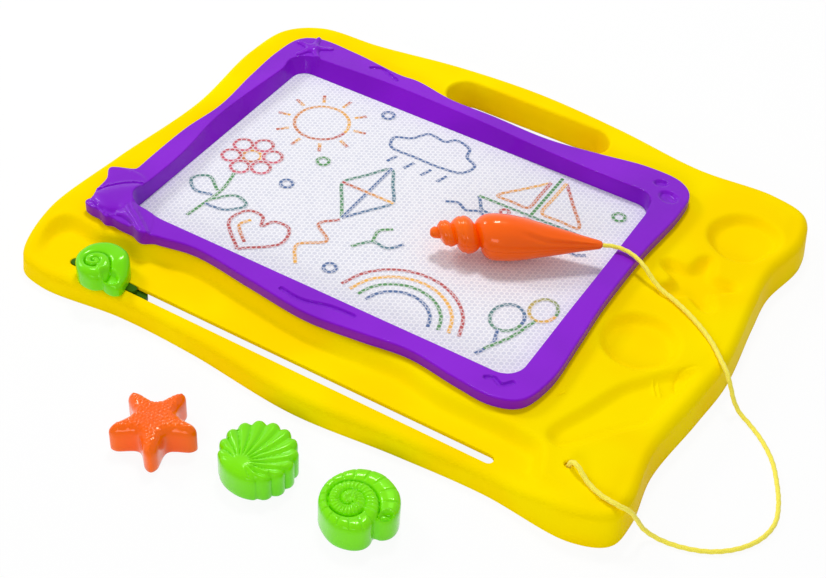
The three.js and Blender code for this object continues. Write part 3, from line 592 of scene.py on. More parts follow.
class Workshop:
    """What every piece needs: where the window lies in the frame."""

    centre = np.zeros(3)

    @classmethod
    def set_up(cls) -> None:
        """Finds the window's centre from the front film, which lies around it."""
        low, high = (np.array(corner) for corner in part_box("screen_front_film"))
        cls.centre = np.array([*((low + high) / 2)[:2], 0]) / MM

    @classmethod
    def spot(cls, x: float, y: float, z: float) -> Triple:
        """A window point in the frame, in metres."""
        return tuple((np.array([x, y, z]) + cls.centre) * MM)


# ---- finishes


def linear(red: int, green: int, blue: int) -> tuple[float, float, float, float]:
    """A display colour of 0 to 255 as the shader's linear colour."""
    parts = [value / 255 for value in (red, green, blue)]
    return (*(p / 12.92 if p <= 0.04045 else ((p + 0.055) / 1.055) ** 2.4 for p in parts), 1.0)


class NodeGraph:
    """Adds and joins nodes in one tree."""

    def __init__(self, tree: Tree) -> None:
        """Takes the tree to draw in."""
        self.tree = tree

    def feed(self, node: Node, links: dict) -> None:
        """Fills a node's inputs.

        Args:
            node: The node.
            links: By input name or number, a socket to join or a value to set.
        """
        for name, value in links.items():
            if isinstance(value, Socket):
                self.tree.links.new(value, node.inputs[name])
            else:
                node.inputs[name].default_value = value

    def add(self, kind: str, links: dict | None = None, **settings: object) -> Node:
        """Adds a node.

        Args:
            kind: The node's type, without its prefix.
            links: What its inputs are given, as for feed.
            settings: The node's own properties.

        Returns:
            The node.
        """
        node = self.tree.nodes.new("ShaderNode" + kind)
        for name, value in settings.items():
            setattr(node, name, value)
        self.feed(node, links or {})
        return node

    def math(self, operation: str, *values: object) -> Socket:
        """A math node's output."""
        return self.add("Math", dict(enumerate(values)), operation=operation).outputs[0]

    def vector(self, operation: str, *values: object) -> Node:
        """A vector math node."""
        return self.add("VectorMath", dict(enumerate(values)), operation=operation)

    def ramp(self, value: Socket, low: object, high: object) -> Socket:
        """A smooth rise from 0 at low to 1 at high."""
        links = {"Value": value, "From Min": low, "From Max": high}
        return self.add("MapRange", links, interpolation_type="SMOOTHSTEP").outputs[0]

    def blend(self, share: object, first: object, second: object) -> Socket:
        """A mix of two colours."""
        return self.add("Mix", {0: share, 6: first, 7: second}, data_type="RGBA").outputs[2]

    def place(self) -> Socket:
        """Where the shaded point lies on its object, in metres."""
        return self.add("TexCoord").outputs["Object"]

    def bump(self, height: Socket, distance: float, strength: float) -> Socket:
        """The normal of a surface in relief."""
        links = {"Height": height, "Distance": distance, "Strength": strength}
        return self.add("Bump", links).outputs[0]

    def seen(self) -> Socket:
        """1 for what is seen straight, in a gloss or through a clear piece, and 0 for what only lights others.

        Returns:
            The value.
        """
        path = self.add("LightPath")
        seen = self.math("MAXIMUM", path.outputs["Is Camera Ray"], path.outputs["Is Glossy Ray"])
        return self.math("MAXIMUM", seen, path.outputs["Is Transmission Ray"])

    def noise(self, place: Socket, scale: object, detail: float = 3) -> Socket:
        """A noise value about 0.5."""
        links = {"Vector": place, "Scale": scale, "Detail": detail}
        return self.add("TexNoise", links).outputs["Fac"]


class SharedEffect:
    """A node group, built once, that several finishes place with their own values."""

    made: dict[str, Tree] = {}

    @classmethod
    def group(cls, name: str, inputs: Sequence[tuple], outputs: Sequence[tuple],
              draw: Callable) -> Tree:
        """Finds or builds a group.

        Args:
            name: The group's name.
            inputs: Each input's name, kind of socket and value.
            outputs: Each output's name and kind of socket.
            draw: Draws the group, and returns a socket for each output.

        Returns:
            The group.
        """
        if name in cls.made:
            return cls.made[name]
        tree = bpy.data.node_groups.new(name, "ShaderNodeTree")
        for title, kind, value in inputs:
            tree.interface.new_socket(title, in_out="INPUT", socket_type="NodeSocket" + kind).default_value = value
        for title, kind in outputs:
            tree.interface.new_socket(title, in_out="OUTPUT", socket_type="NodeSocket" + kind)
        entry, leave = tree.nodes.new("NodeGroupInput"), tree.nodes.new("NodeGroupOutput")
        for (title, _), socket in zip(outputs, draw(NodeGraph(tree), entry.outputs)):
            tree.links.new(socket, leave.inputs[title])
        cls.made[name] = tree
        return tree

    @classmethod
    def moulded_skin(cls) -> Tree:
        """Injection-moulded plastic: slow changes of tone, a fine orange peel and faint handling marks.

        Returns:
            The group.
        """

        def draw(graph: NodeGraph, given: object) -> list[Socket]:
            """Draws the group.

            Args:
                graph: The graph to draw in.
                given: The group's inputs.

            Returns:
                A socket for each output.
            """
            streak, streak_scale = (1, 0.16, 0.6), 900
            rub_rough, rub_depth = 0.09, -0.12
            place = graph.place()
            fine = graph.noise(place, given["Grain"], 2)
            marks = graph.noise(graph.vector("MULTIPLY", place, streak).outputs[0], streak_scale, 4)
            rub = graph.ramp(marks, 0.62, 0.74)
            tone = graph.ramp(graph.noise(place, given["Flow"], 2), 0.35, 0.68)
            colour = graph.blend(tone, given["Deep"], given["Colour"])
            rough = graph.math("ADD", given["Gloss"], graph.math("MULTIPLY", fine, given["Gloss Change"]))
            rough = graph.math("ADD", rough, graph.math("MULTIPLY", rub, rub_rough))
            height = graph.math("ADD", fine, graph.math("MULTIPLY", rub, rub_depth))
            return [colour, rough, height]

        inputs = [
            ("Colour", "Color", WHITE), ("Deep", "Color", WHITE),
            ("Flow", "Float", 18.0), ("Grain", "Float", 900.0),
            ("Gloss", "Float", 0.25), ("Gloss Change", "Float", 0.1),
        ]
        outputs = [("Colour", "Color"), ("Roughness", "Float"), ("Height", "Float")]
        return cls.group("moulded_skin", inputs, outputs, draw)

    @classmethod
    def hexagon_cells(cls) -> Tree:
        """A honeycomb seen from above: its walls, and a tone that differs from cell to cell.

        Returns:
            The group.
        """

        def draw(graph: NodeGraph, given: object) -> list[Socket]:
            """Draws the group.

            Args:
                graph: The graph to draw in.
                given: The group's inputs.

            Returns:
                A socket for each output.
            """
            flat = graph.vector("MULTIPLY", graph.place(), (1, 1, 0)).outputs[0]
            scale = graph.math("DIVIDE", 1.0, given["Pitch"])
            cells = graph.add("VectorMath", {0: flat, 3: scale}, operation="SCALE").outputs[0]
            lean = math.sqrt(3) / 2
            half = (lean, 0.5, 0.5)
            back = tuple(-part for part in half)
            offers = []
            for shift in ((0, 0, 0), half):
                moved = graph.vector("ADD", cells, shift).outputs[0]
                offers.append(graph.vector("WRAP", moved, half, back).outputs[0])
            sizes = [graph.vector("LENGTH", offer).outputs["Value"] for offer in offers]
            nearer = graph.math("LESS_THAN", sizes[0], sizes[1])
            mix = graph.add("Mix", {0: nearer, 4: offers[1], 5: offers[0]}, data_type="VECTOR")
            local = mix.outputs[1]
            apart = graph.add("SeparateXYZ", {0: graph.vector("ABSOLUTE", local).outputs[0]})
            slant = graph.math("ADD", graph.math("MULTIPLY", apart.outputs[0], lean),
                               graph.math("MULTIPLY", apart.outputs[1], 0.5))
            reach = graph.math("MAXIMUM", apart.outputs[1], slant)
            inner = graph.math("SUBTRACT", 0.5, given["Wall"])
            wall = graph.ramp(reach, graph.math("SUBTRACT", inner, 0.05), graph.math("ADD", inner, 0.02))
            centre = graph.vector("SUBTRACT", cells, local).outputs[0]
            whole = graph.vector("SNAP", centre, (0.05, 0.05, 1)).outputs[0]
            return [wall, graph.add("TexWhiteNoise", {"Vector": whole}).outputs["Value"]]

        inputs = [("Pitch", "Float", 0.003), ("Wall", "Float", 0.08)]
        outputs = [("Wall", "Float"), ("Tone", "Float")]
        return cls.group("hexagon_cells", inputs, outputs, draw)


def blank_graph(owner: Material | bpy.types.World) -> NodeGraph:
    """Clears the nodes of a material or a world, and returns its graph.

    Args:
        owner: The material or world.

    Returns:
        The graph.
    """
    owner.use_nodes = True
    owner.node_tree.nodes.clear()
    return NodeGraph(owner.node_tree)


def new_material(name: str) -> tuple[Material, NodeGraph, Node]:
    """Starts a material with a Principled BSDF, and returns it with its graph and shader.

    Args:
        name: Its name.

    Returns:
        The material, its graph and its shader.
    """
    material = bpy.data.materials.new(name)
    graph = blank_graph(material)
    shader = graph.add("BsdfPrincipled")
    graph.add("OutputMaterial", {"Surface": shader.outputs[0]})
    return material, graph, shader


@dataclass(frozen=True)
class MouldedPlastic:
    """A glossy coloured plastic."""

    name: str
    colour: Colour
    deep: Colour
    gloss: float
    coat: float
    shine: float = 0.4
    peel: float = 0.04
    grain: float = 900.0
    peel_depth: float = 0.00012
    coat_gloss: float = 0.06

    def make(self) -> Material:
        """Builds the material.

        Returns:
            The material.
        """
        material, graph, shader = new_material(self.name)
        given = {"Colour": linear(*self.colour), "Deep": linear(*self.deep), "Gloss": self.gloss,
                 "Grain": self.grain}
        skin = graph.add("Group", given, node_tree=SharedEffect.moulded_skin()).outputs
        graph.feed(shader, {
            "Base Color": skin["Colour"], "Roughness": skin["Roughness"],
            "Normal": graph.bump(skin["Height"], self.peel_depth, self.peel),
            "Specular IOR Level": self.shine, "Specular Tint": linear(*self.colour),
            "Coat Weight": self.coat, "Coat Roughness": self.coat_gloss,
        })
        return material


@dataclass(frozen=True)
class ScreenFilm:
    """The pale film over the honeycomb, through which the cells show."""

    name: str
    cell: Colour = (224, 224, 233)
    shade: Colour = (214, 215, 227)
    wall: Colour = (243, 243, 247)
    pitch: float = 0.003
    thickness: float = 0.07
    relief: float = 0.00008

    def paper(self, graph: NodeGraph, thickness: float) -> tuple[Socket, Socket]:
        """Draws the cells.

        Args:
            graph: The graph to draw in.
            thickness: The walls' thickness, as a share of the pitch.

        Returns:
            The colour, and a value that is 1 on the walls.
        """
        cells = graph.add("Group", {"Pitch": self.pitch, "Wall": thickness},
                          node_tree=SharedEffect.hexagon_cells()).outputs
        inside = graph.blend(cells["Tone"], linear(*self.cell), linear(*self.shade))
        return graph.blend(cells["Wall"], inside, linear(*self.wall)), cells["Wall"]

    def make(self) -> Material:
        """Builds the material.

        Returns:
            The material.
        """
        material, graph, shader = new_material(self.name)
        colour, walls = self.paper(graph, self.thickness)
        graph.feed(shader, {
            "Base Color": colour, "Roughness": graph.math("ADD", 0.3, graph.math("MULTIPLY", walls, 0.12)),
            "Normal": graph.bump(walls, self.relief, 0.25), "Specular IOR Level": 0.4,
        })
        return material


@dataclass(frozen=True)
class MagneticInk:
    """Lines drawn in powder inside the cells: a pale stain, and a darker core that the cell walls break up."""

    name: str
    film: ScreenFilm
    thickness: float = 0.1
    stain: float = 0.45
    powder_scale: float = 2400

    def make(self) -> Material:
        """Builds the material.

        Returns:
            The material.
        """
        material, graph, shader = new_material(self.name)
        paper, walls = self.film.paper(graph, self.thickness)
        stroke = graph.add("VertexColor", layer_name="ink").outputs
        powder = graph.ramp(graph.noise(graph.place(), self.powder_scale, 2), 0.25, 0.62)
        open_cell = graph.math("SUBTRACT", 1.0, graph.math("MULTIPLY", walls, 0.6))
        grains = graph.math("ADD", 0.75, graph.math("MULTIPLY", powder, 0.25))
        core = graph.math("MULTIPLY", graph.ramp(stroke["Alpha"], 0.42, 0.72), open_cell)
        core = graph.math("MULTIPLY", core, grains)
        stain = graph.math("MULTIPLY", graph.ramp(stroke["Alpha"], 0.0, 0.6), self.stain)
        colour = graph.blend(graph.math("MAXIMUM", core, stain), paper, stroke["Color"])
        graph.feed(shader, {"Base Color": colour, "Roughness": 0.4, "Specular IOR Level": 0.3})
        return material


@dataclass(frozen=True)
class TwistedCord:
    """A soft twisted string."""

    name: str
    light: Colour = (255, 246, 96)
    deep: Colour = (244, 224, 44)
    fuzz_scale: float = 2600
    relief: float = 0.0002
    sheen: float = 0.3

    def make(self) -> Material:
        """Builds the material.

        Returns:
            The material.
        """
        material, graph, shader = new_material(self.name)
        fuzz = graph.noise(graph.place(), self.fuzz_scale, 3)
        graph.feed(shader, {
            "Base Color": graph.blend(graph.ramp(fuzz, 0.3, 0.7), linear(*self.deep), linear(*self.light)),
            "Roughness": graph.math("ADD", 0.6, graph.math("MULTIPLY", fuzz, 0.3)),
            "Normal": graph.bump(fuzz, self.relief, 0.5), "Sheen Weight": self.sheen,
        })
        return material


@dataclass(frozen=True)
class DarkMagnet:
    """Sintered magnet strip: near black, with a fine speckle."""

    name: str
    light: Colour = (66, 64, 63)
    deep: Colour = (34, 33, 34)
    speck_scale: float = 3200
    relief: float = 0.0001

    def make(self) -> Material:
        """Builds the material.

        Returns:
            The material.
        """
        material, graph, shader = new_material(self.name)
        speck = graph.noise(graph.place(), self.speck_scale, 4)
        colour = graph.blend(graph.ramp(speck, 0.4, 0.7), linear(*self.deep), linear(*self.light))
        normal = graph.bump(speck, self.relief, 0.4)
        graph.feed(shader, {"Base Color": colour, "Normal": normal, "Roughness": 0.62})
        return material


@dataclass(frozen=True)
class PlatedSteel:
    """Bright plated screw steel, brushed by its tool."""

    name: str
    light: Colour = (206, 207, 210)
    deep: Colour = (168, 170, 174)
    brush: Triple = (1, 1, 8)
    brush_scale: float = 1800

    def make(self) -> Material:
        """Builds the material.

        Returns:
            The material.
        """
        material, graph, shader = new_material(self.name)
        along = graph.vector("MULTIPLY", graph.place(), self.brush).outputs[0]
        brushed = graph.noise(along, self.brush_scale, 4)
        rough = graph.math("ADD", 0.22, graph.math("MULTIPLY", brushed, 0.25))
        colour = graph.blend(brushed, linear(*self.deep), linear(*self.light))
        graph.feed(shader, {"Base Color": colour, "Roughness": rough, "Metallic": 1.0})
        return material


@dataclass(frozen=True)
class PaleTable:
    """The white table and backdrop. Seen straight on it is nearly white, and it keeps a faint shadow."""

    name: str = "pale_table"
    own_light: float = 0.92
    grey: float = 0.93

    def make(self) -> Material:
        """Builds the material.

        Returns:
            The material.
        """
        material = bpy.data.materials.new(self.name)
        graph = blank_graph(material)
        lit = graph.add("BsdfDiffuse", {"Color": (self.grey, self.grey, self.grey, 1)})
        white = graph.add("Emission", {"Color": WHITE, "Strength": 1.0})
        share = graph.math("MULTIPLY", graph.seen(), self.own_light)
        both = graph.add("MixShader", {0: share, 1: lit.outputs[0], 2: white.outputs[0]})
        graph.add("OutputMaterial", {"Surface": both.outputs[0]})
        return material


class Palette:
    """Every finish of the board, each made once."""

    def __init__(self) -> None:
        """Builds the materials."""
        self.tray = MouldedPlastic("yellow_plastic", (255, 228, 0), (255, 218, 0), gloss=0.34, coat=0.0,
                                   shine=0.006, peel=0.02).make()
        self.bezel = MouldedPlastic("purple_plastic", (134, 22, 206), (124, 18, 194), gloss=0.34, coat=0.08,
                                    shine=0.5, peel=0.07, grain=1900).make()
        self.green = MouldedPlastic("green_plastic", (128, 232, 0), (116, 222, 0), gloss=0.16, coat=0.24,
                                    shine=0.35).make()
        # The eraser arm's green is darkened to stand for the shade it lies in below the slot: painted shade on a copy
        # of the green plastic.
        self.arm = MouldedPlastic("green_plastic_painted_shade", (62, 112, 8), (52, 98, 6), gloss=0.35, coat=0.0,
                                  shine=0.2).make()
        self.orange = MouldedPlastic("orange_plastic", (255, 112, 0), (255, 98, 0), gloss=0.16, coat=0.32,
                                     shine=0.35).make()
        film = ScreenFilm("screen_film")
        self.film = film.make()
        self.core = ScreenFilm("screen_core", (206, 207, 216), (190, 191, 202), (228, 228, 236)).make()
        self.ink = MagneticInk("magnetic_ink", film).make()
        self.cord = TwistedCord("twisted_cord").make()
        self.steel = PlatedSteel("plated_steel").make()
        self.magnet = DarkMagnet("dark_magnet").make()


def dress(piece: Piece, material: Material) -> None:
    """Gives a whole piece one material.

    Args:
        piece: The piece.
        material: What it is made of.
    """
    piece.data.materials.clear()
    piece.data.materials.append(material)
    for face in piece.data.polygons:
        face.material_index = 0


def seat(piece: Piece, body: Body, nodes: Sequence[str] = ()) -> None:
    """Makes a piece ride on a body, and hides the CAD nodes that it stands for.

    Args:
        piece: The piece.
        body: The body.
        nodes: The CAD nodes.
    """
    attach(piece, body.value)
    if nodes:
        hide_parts(*nodes)


def finish_piece(draft: Draft, name: str, sharp: float, material: Material, body: Body,
                 nodes: Sequence[str] = ()) -> Piece:
    """Makes a drafted piece, dresses it, seats it and reports it.

    Args:
        draft: The piece's draft.
        name: The piece's name.
        sharp: Edges that bend by more degrees than this stay sharp.
        material: What it is made of.
        body: The body it rides on.
        nodes: The CAD nodes that it stands for.

    Returns:
        The piece.
    """
    piece = draft.piece(name, sharp)
    dress(piece, material)
    seat(piece, body, nodes)
    log.info("%s: %d faces", name, len(piece.data.polygons))
    return piece


# ---- sizes that several pieces share


@dataclass(frozen=True)
class Plan:
    """The board's shared sizes, in millimetres from the centre of the window."""

    window: Pair = (249, 175)
    window_radius: float = 9
    tray_centre: Pair = (24, 0.5)
    tray_half: Pair = (191, 153)
    rail_half: Pair = (140.5, 103.5)
    plateau: float = 21
    trough: float = 13
    screen: float = 17
    bezel: float = 28
    wall: float = 2.4

    def on_tray(self, shares: Pairs) -> Array:
        """Places given as shares of half the tray."""
        return np.asarray(shares, float) * self.tray_half + self.tray_centre

    def on_rail(self, shares: Pairs) -> Array:
        """Places given as shares of half the window and one rail."""
        return np.asarray(shares, float) * self.rail_half

    def window_loop(self, step: float) -> Array:
        """The window's outline."""
        return rounded_rectangle(*self.window, self.window_radius, step)


PLAN = Plan()


# ---- stamps and knob


def star_outline(radius: float, count: int, waist: float = 0.53, tip: float = 0.22) -> Array:
    """A star with blunt arms, one along +X.

    Args:
        radius: The reach of its arms.
        count: How many points to return.
        waist: The share of the radius between two arms.
        tip: Half the width of a tip, as a share of a tenth of a turn.

    Returns:
        The loop.
    """
    shares = ((-tip, 0.92), (0, 1), (tip, 0.92), (1, waist))
    anchors = [
        (radius * reach * math.cos((2 * arm + turn) * math.pi / 5),
         radius * reach * math.sin((2 * arm + turn) * math.pi / 5))
        for arm in range(5)
        for turn, reach in shares
    ]
    return curve(anchors, count)


SCALLOP_HINGE = math.radians(200)
SCALLOP_FLUTES = 7.5  # flutes in half a turn


def from_hinge(angle: Array) -> Array:
    """How many degrees an angle lies from the scallop's hinge."""
    return np.degrees(np.abs((angle - SCALLOP_HINGE + math.pi) % TURN - math.pi))


def scallop_outline(radius: float, count: int) -> Array:
    """A fan with a smooth hinge and flutes round the rest of its rim.

    Args:
        radius: Its reach at the crests of the flutes.
        count: How many points to return.

    Returns:
        The loop.
    """
    notch, flat = 0.075, 0.05
    angle = round_turn(count)
    flute = np.abs(np.sin(angle * SCALLOP_FLUTES))
    fluted = ease(from_hinge(angle), 30, 48)
    reach = radius * (1 - notch * (1 - flute) ** 1.2 * fluted - flat * (1 - from_hinge(angle) / 180) ** 2)
    return polar(reach, angle)


def snail_outline(radius: float, count: int, corners: Pairs) -> Array:
    """A snail's outline, smooth but for its notch.

    Args:
        radius: Its radius.
        count: How many points to return.
        corners: Its anchors, each an angle in degrees and a share of the radius.

    Returns:
        The loop.
    """
    anchors = [(radius * reach * math.cos(math.radians(angle)), radius * reach * math.sin(math.radians(angle)))
               for angle, reach in corners]
    return curve(anchors, count)


NAUTILUS_CORNERS = (
    (3.5, 0.7), (6, 0.73), (10, 0.81), (18, 0.9), (28, 0.965), (40, 0.99), (60, 0.98), (80, 0.97), (118, 0.97),
    (159, 0.96), (205, 0.96), (246, 0.98), (290, 0.985), (320, 0.965), (338, 0.92), (350, 0.83), (357, 0.745),
    (0.5, 0.705),
)
KNOB_CORNERS = (
    (-28, 0.9), (-25, 0.99), (-20, 1.12), (-11, 1.3), (-3, 1.38), (4, 1.34), (16, 1.2), (34, 1.08), (60, 1.0),
    (90, 0.98), (135, 0.97), (180, 0.97), (225, 0.98), (270, 0.98), (305, 0.96), (320, 0.93), (327, 0.9),
)


@dataclass
class Stamp:
    """A stamp with a shaped top, straight sides and a hollow below."""

    name: str
    body: Body
    slot: Slot
    nodes: tuple[str, ...]
    outline: Array
    top: Callable[[Array], Array]
    place: Triple
    turn: float
    spacing: float = 0.5
    rings: Floats = (0.25, 0.6, 1.0, 1.5, 2.1, 2.8)
    side_foot: float = 0.9
    foot_in: float = 4.2
    foot_up: float = 3.5
    features: Sequence[Array] = field(default_factory=list)

    def build(self, material: Material) -> None:
        """Makes the stamp of a plastic.

        Args:
            material: What it is made of.
        """
        draft = Draft()
        loops = [shrunk(self.outline, ring) for ring in self.rings]
        row, = draft.sheet(self.outline, [], [*loops, *self.features], self.spacing, self.top)
        shoulder = self.top(self.outline)
        inner = self.outline * (1 - self.foot_in / np.abs(self.outline).max())
        rings = [(self.outline, shoulder * share + self.side_foot * (1 - share)) for share in (0.8, 0.6, 0.4, 0.2, 0)]
        rings += [(shrunk(self.outline, 0.15), 0.3), (shrunk(self.outline, 0.5), 0.0)]
        rings += [(inner, 0.0), (inner, self.foot_up)]
        draft.cap(draft.hang(row, rings), flip=True)
        for points in draft.points:
            points[:, :2] = turned(points[:, :2], self.turn, self.place[:2])
            points[:, 2] += self.place[2]
        finish_piece(draft, self.name, 50, material, self.body, self.nodes)


@dataclass
class StarTop:
    """The star's crown: round arms, sprinkled with pebbles."""

    radius: float = 23
    height: float = 18
    shoulder: float = 4.8
    pebble: float = 0.4
    pebble_radius: float = 0.8
    pebble_grid: Pair = (2.4, 2.1)
    scatter: float = 0.3
    bare: float = 1.5
    seed: int = 7

    def __post_init__(self) -> None:
        """Lays out the outline and the pebbles."""
        self.outline = star_outline(self.radius, 260)
        spread = np.random.default_rng(self.seed)
        across, up = (np.arange(-self.radius, self.radius, gap) for gap in self.pebble_grid)
        grid = np.stack(np.meshgrid(across, up), axis=-1)
        grid[1::2, :, 0] += self.pebble_grid[0] / 2
        grid = grid.reshape(-1, 2) + spread.normal(0, self.scatter, (grid.size // 2, 2))
        self.pebbles = grid[depth_in(grid, self.outline) > self.bare]

    def __call__(self, points: Array) -> Array:
        """The crown's height over plan points.

        Args:
            points: Plan points.

        Returns:
            One height per point.
        """
        depth = np.maximum(depth_in(points, self.outline), 0)
        out = norm(points, axis=1) / self.radius
        gap = norm(points[:, None] - self.pebbles[None], axis=2).min(axis=1)
        pebbles = self.pebble * np.sqrt(np.maximum(1 - (gap / self.pebble_radius) ** 2, 0))
        crown = self.height - 0.4 - 1.3 * out**2 - shoulder_drop(depth, self.shoulder) * 0.85
        return crown + pebbles - 0.4 * ease(-depth, -4, 0)


@dataclass
class ScallopTop:
    """The scallop's crown: flutes that fan out from its hub."""

    radius: float = 20.5
    height: float = 18
    hub: float = 0.62
    flute: float = 1.25
    shoulder: float = 3.6
    curl: float = 0.1
    fall: float = 0.9
    count: int = 480

    def __post_init__(self) -> None:
        """Lays out the outline and what each ray from the hub meets."""
        self.outline = scallop_outline(self.radius, self.count)
        reach = self.hub * self.radius
        self.middle = np.array([math.cos(SCALLOP_HINGE), math.sin(SCALLOP_HINGE)]) * reach
        away = self.outline - self.middle
        angle = np.unwrap(np.arctan2(away[:, 1], away[:, 0]))
        self.rays = np.concatenate([angle - TURN, angle, angle + TURN])
        self.reach = np.tile(norm(away, axis=1), 3)
        around = round_turn(self.count)
        self.around = np.concatenate([around - TURN, around, around + TURN])

    def __call__(self, points: Array) -> Array:
        """The crown's height over plan points.

        Args:
            points: Plan points.

        Returns:
            One height per point.
        """
        away = points - self.middle
        angle = np.arctan2(away[:, 1], away[:, 0])
        far = norm(away, axis=1)
        share = far / np.interp(angle, self.rays, self.reach)
        curl = self.curl * np.sin(math.pi * np.clip(share, 0, 1)) * ease(far, 2, 9)
        around = np.interp(angle, self.rays, self.around) + curl
        crest = np.abs(np.sin(around * SCALLOP_FLUTES))
        strength = ease(far, 1.5, 9) * ease(from_hinge(around), 26, 46)
        depth = np.maximum(depth_in(points, self.outline), 0)
        edge = shoulder_drop(depth, self.shoulder)
        fan = self.fall * ease(np.clip(share, 0, 1), 0.0, 1.0)
        return self.height - 0.5 - fan - edge * 0.9 - self.flute * (1 - crest) ** 1.1 * strength


@dataclass
class SnailTop:
    """A snail's crown: a whorl with segment lines, a deep spiral groove, ticks and pearls."""

    radius: float = 20.5
    height: float = 18
    corners: Pairs = NAUTILUS_CORNERS
    groove: float = 2.6
    pole: Pair = (-0.073, -0.229)
    turns: Floats = (19, 30, 51, 89, 139, 197, 240, 284, 332, 370, 410, 460, 509, 551, 595, 660, 720, 800)
    reaches: Floats = (
        0.83, 0.79, 0.71, 0.64, 0.566, 0.546, 0.51, 0.49, 0.478, 0.44, 0.4, 0.355, 0.32, 0.268, 0.22, 0.17, 0.12,
        0.07,
    )
    mouth: tuple[float, float, float, float, float] = (0.735, 0.3, 0.2, 0.125, 78)
    ticks: float = 0.26
    droop: float = 0.0
    shoulder: float = 3.4
    crease: float = 0.9
    segments: float = 21

    def __post_init__(self) -> None:
        """Lays out the outline."""
        self.outline = snail_outline(self.radius, 420, self.corners)

    def spiral(self, degrees: Array) -> Array:
        """The groove's distance from the pole after so many degrees from the notch."""
        return np.interp(degrees, self.turns, self.reaches) * self.radius

    def groove_line(self) -> Array:
        """Points along the groove, from the notch inwards."""
        degrees = np.linspace(self.turns[0], self.turns[-1], 260)
        return polar(self.spiral(degrees), np.radians(degrees)) + np.array(self.pole) * self.radius

    def __call__(self, points: Array) -> Array:
        """The crown's height over plan points.

        Args:
            points: Plan points.

        Returns:
            One height per point.
        """
        size = self.radius
        away = points - np.array(self.pole) * size
        out = norm(away, axis=1)
        start = self.turns[0]
        angle = (np.degrees(np.arctan2(away[:, 1], away[:, 0])) - start) % 360 + start
        depth = np.maximum(depth_in(points, self.outline), 0)
        first, second = self.spiral(angle), self.spiral(angle + 360)
        outer = out > first
        middle = ~outer & (out > second)
        far = np.where(outer, out + depth, np.where(middle, first, second))
        near = np.where(outer, first, np.where(middle, second, 0))
        across = np.clip((out - near) / np.maximum(far - near, 0.4), 0, 1)
        round_top = np.sqrt(np.maximum(1 - (2 * across - 1) ** 2 * np.where(outer & (across > 0.5), 0.2, 0.94), 0))
        slope = np.where(outer, 0.955, np.where(middle, 0.985, 0.97)) * self.height
        shoulder = shoulder_drop(depth, self.shoulder)
        height = slope - self.groove * (1 - round_top) * np.where(outer, 1, 0.7) - shoulder * 0.9
        height -= self.crease * np.exp(-((np.abs(out - first) / 0.55) ** 2)) * ease(depth, 0.2, 1.6)
        half = self.segments / 2
        lines = np.abs((angle + 4) % self.segments - half) / half
        line_width = 0.42 / np.maximum(out, 1) * 180 / math.pi / half
        segment = np.exp(-(((1 - lines) / line_width) ** 2)) * outer * ease(across, 0.12, 0.3)
        inner = ~outer & ease(out, 0.14 * size, 0.16 * size).astype(bool)
        ticks = np.cos(np.radians(angle) * np.where(middle, 28, 18)) * inner * ease(round_top, 0.2, 0.7)
        height += self.ticks * (ticks - 2.0 * segment)
        pearls = [(0.0, 0.0)] + [(0.11 * size * math.cos(a), 0.11 * size * math.sin(a))
                                 for a in round_turn(7)]
        height += 2.6 * self.ticks * bump(away, pearls, 0.04 * size)
        x, y, long, short, lean = self.mouth
        mouth = turned(points - (x * size, y * size), -lean)
        hollow = ellipse_share(mouth, long * size, short * size)
        lip = 0.45 * np.exp(-(((hollow - 1.12) / 0.14) ** 2))
        height += lip - 0.13 * size * (1 - ease(hollow, 0.55, 1.05))
        return height - self.droop * ease(points[:, 0], 0.1 * size, 1.35 * size)


# ---- pen and cord


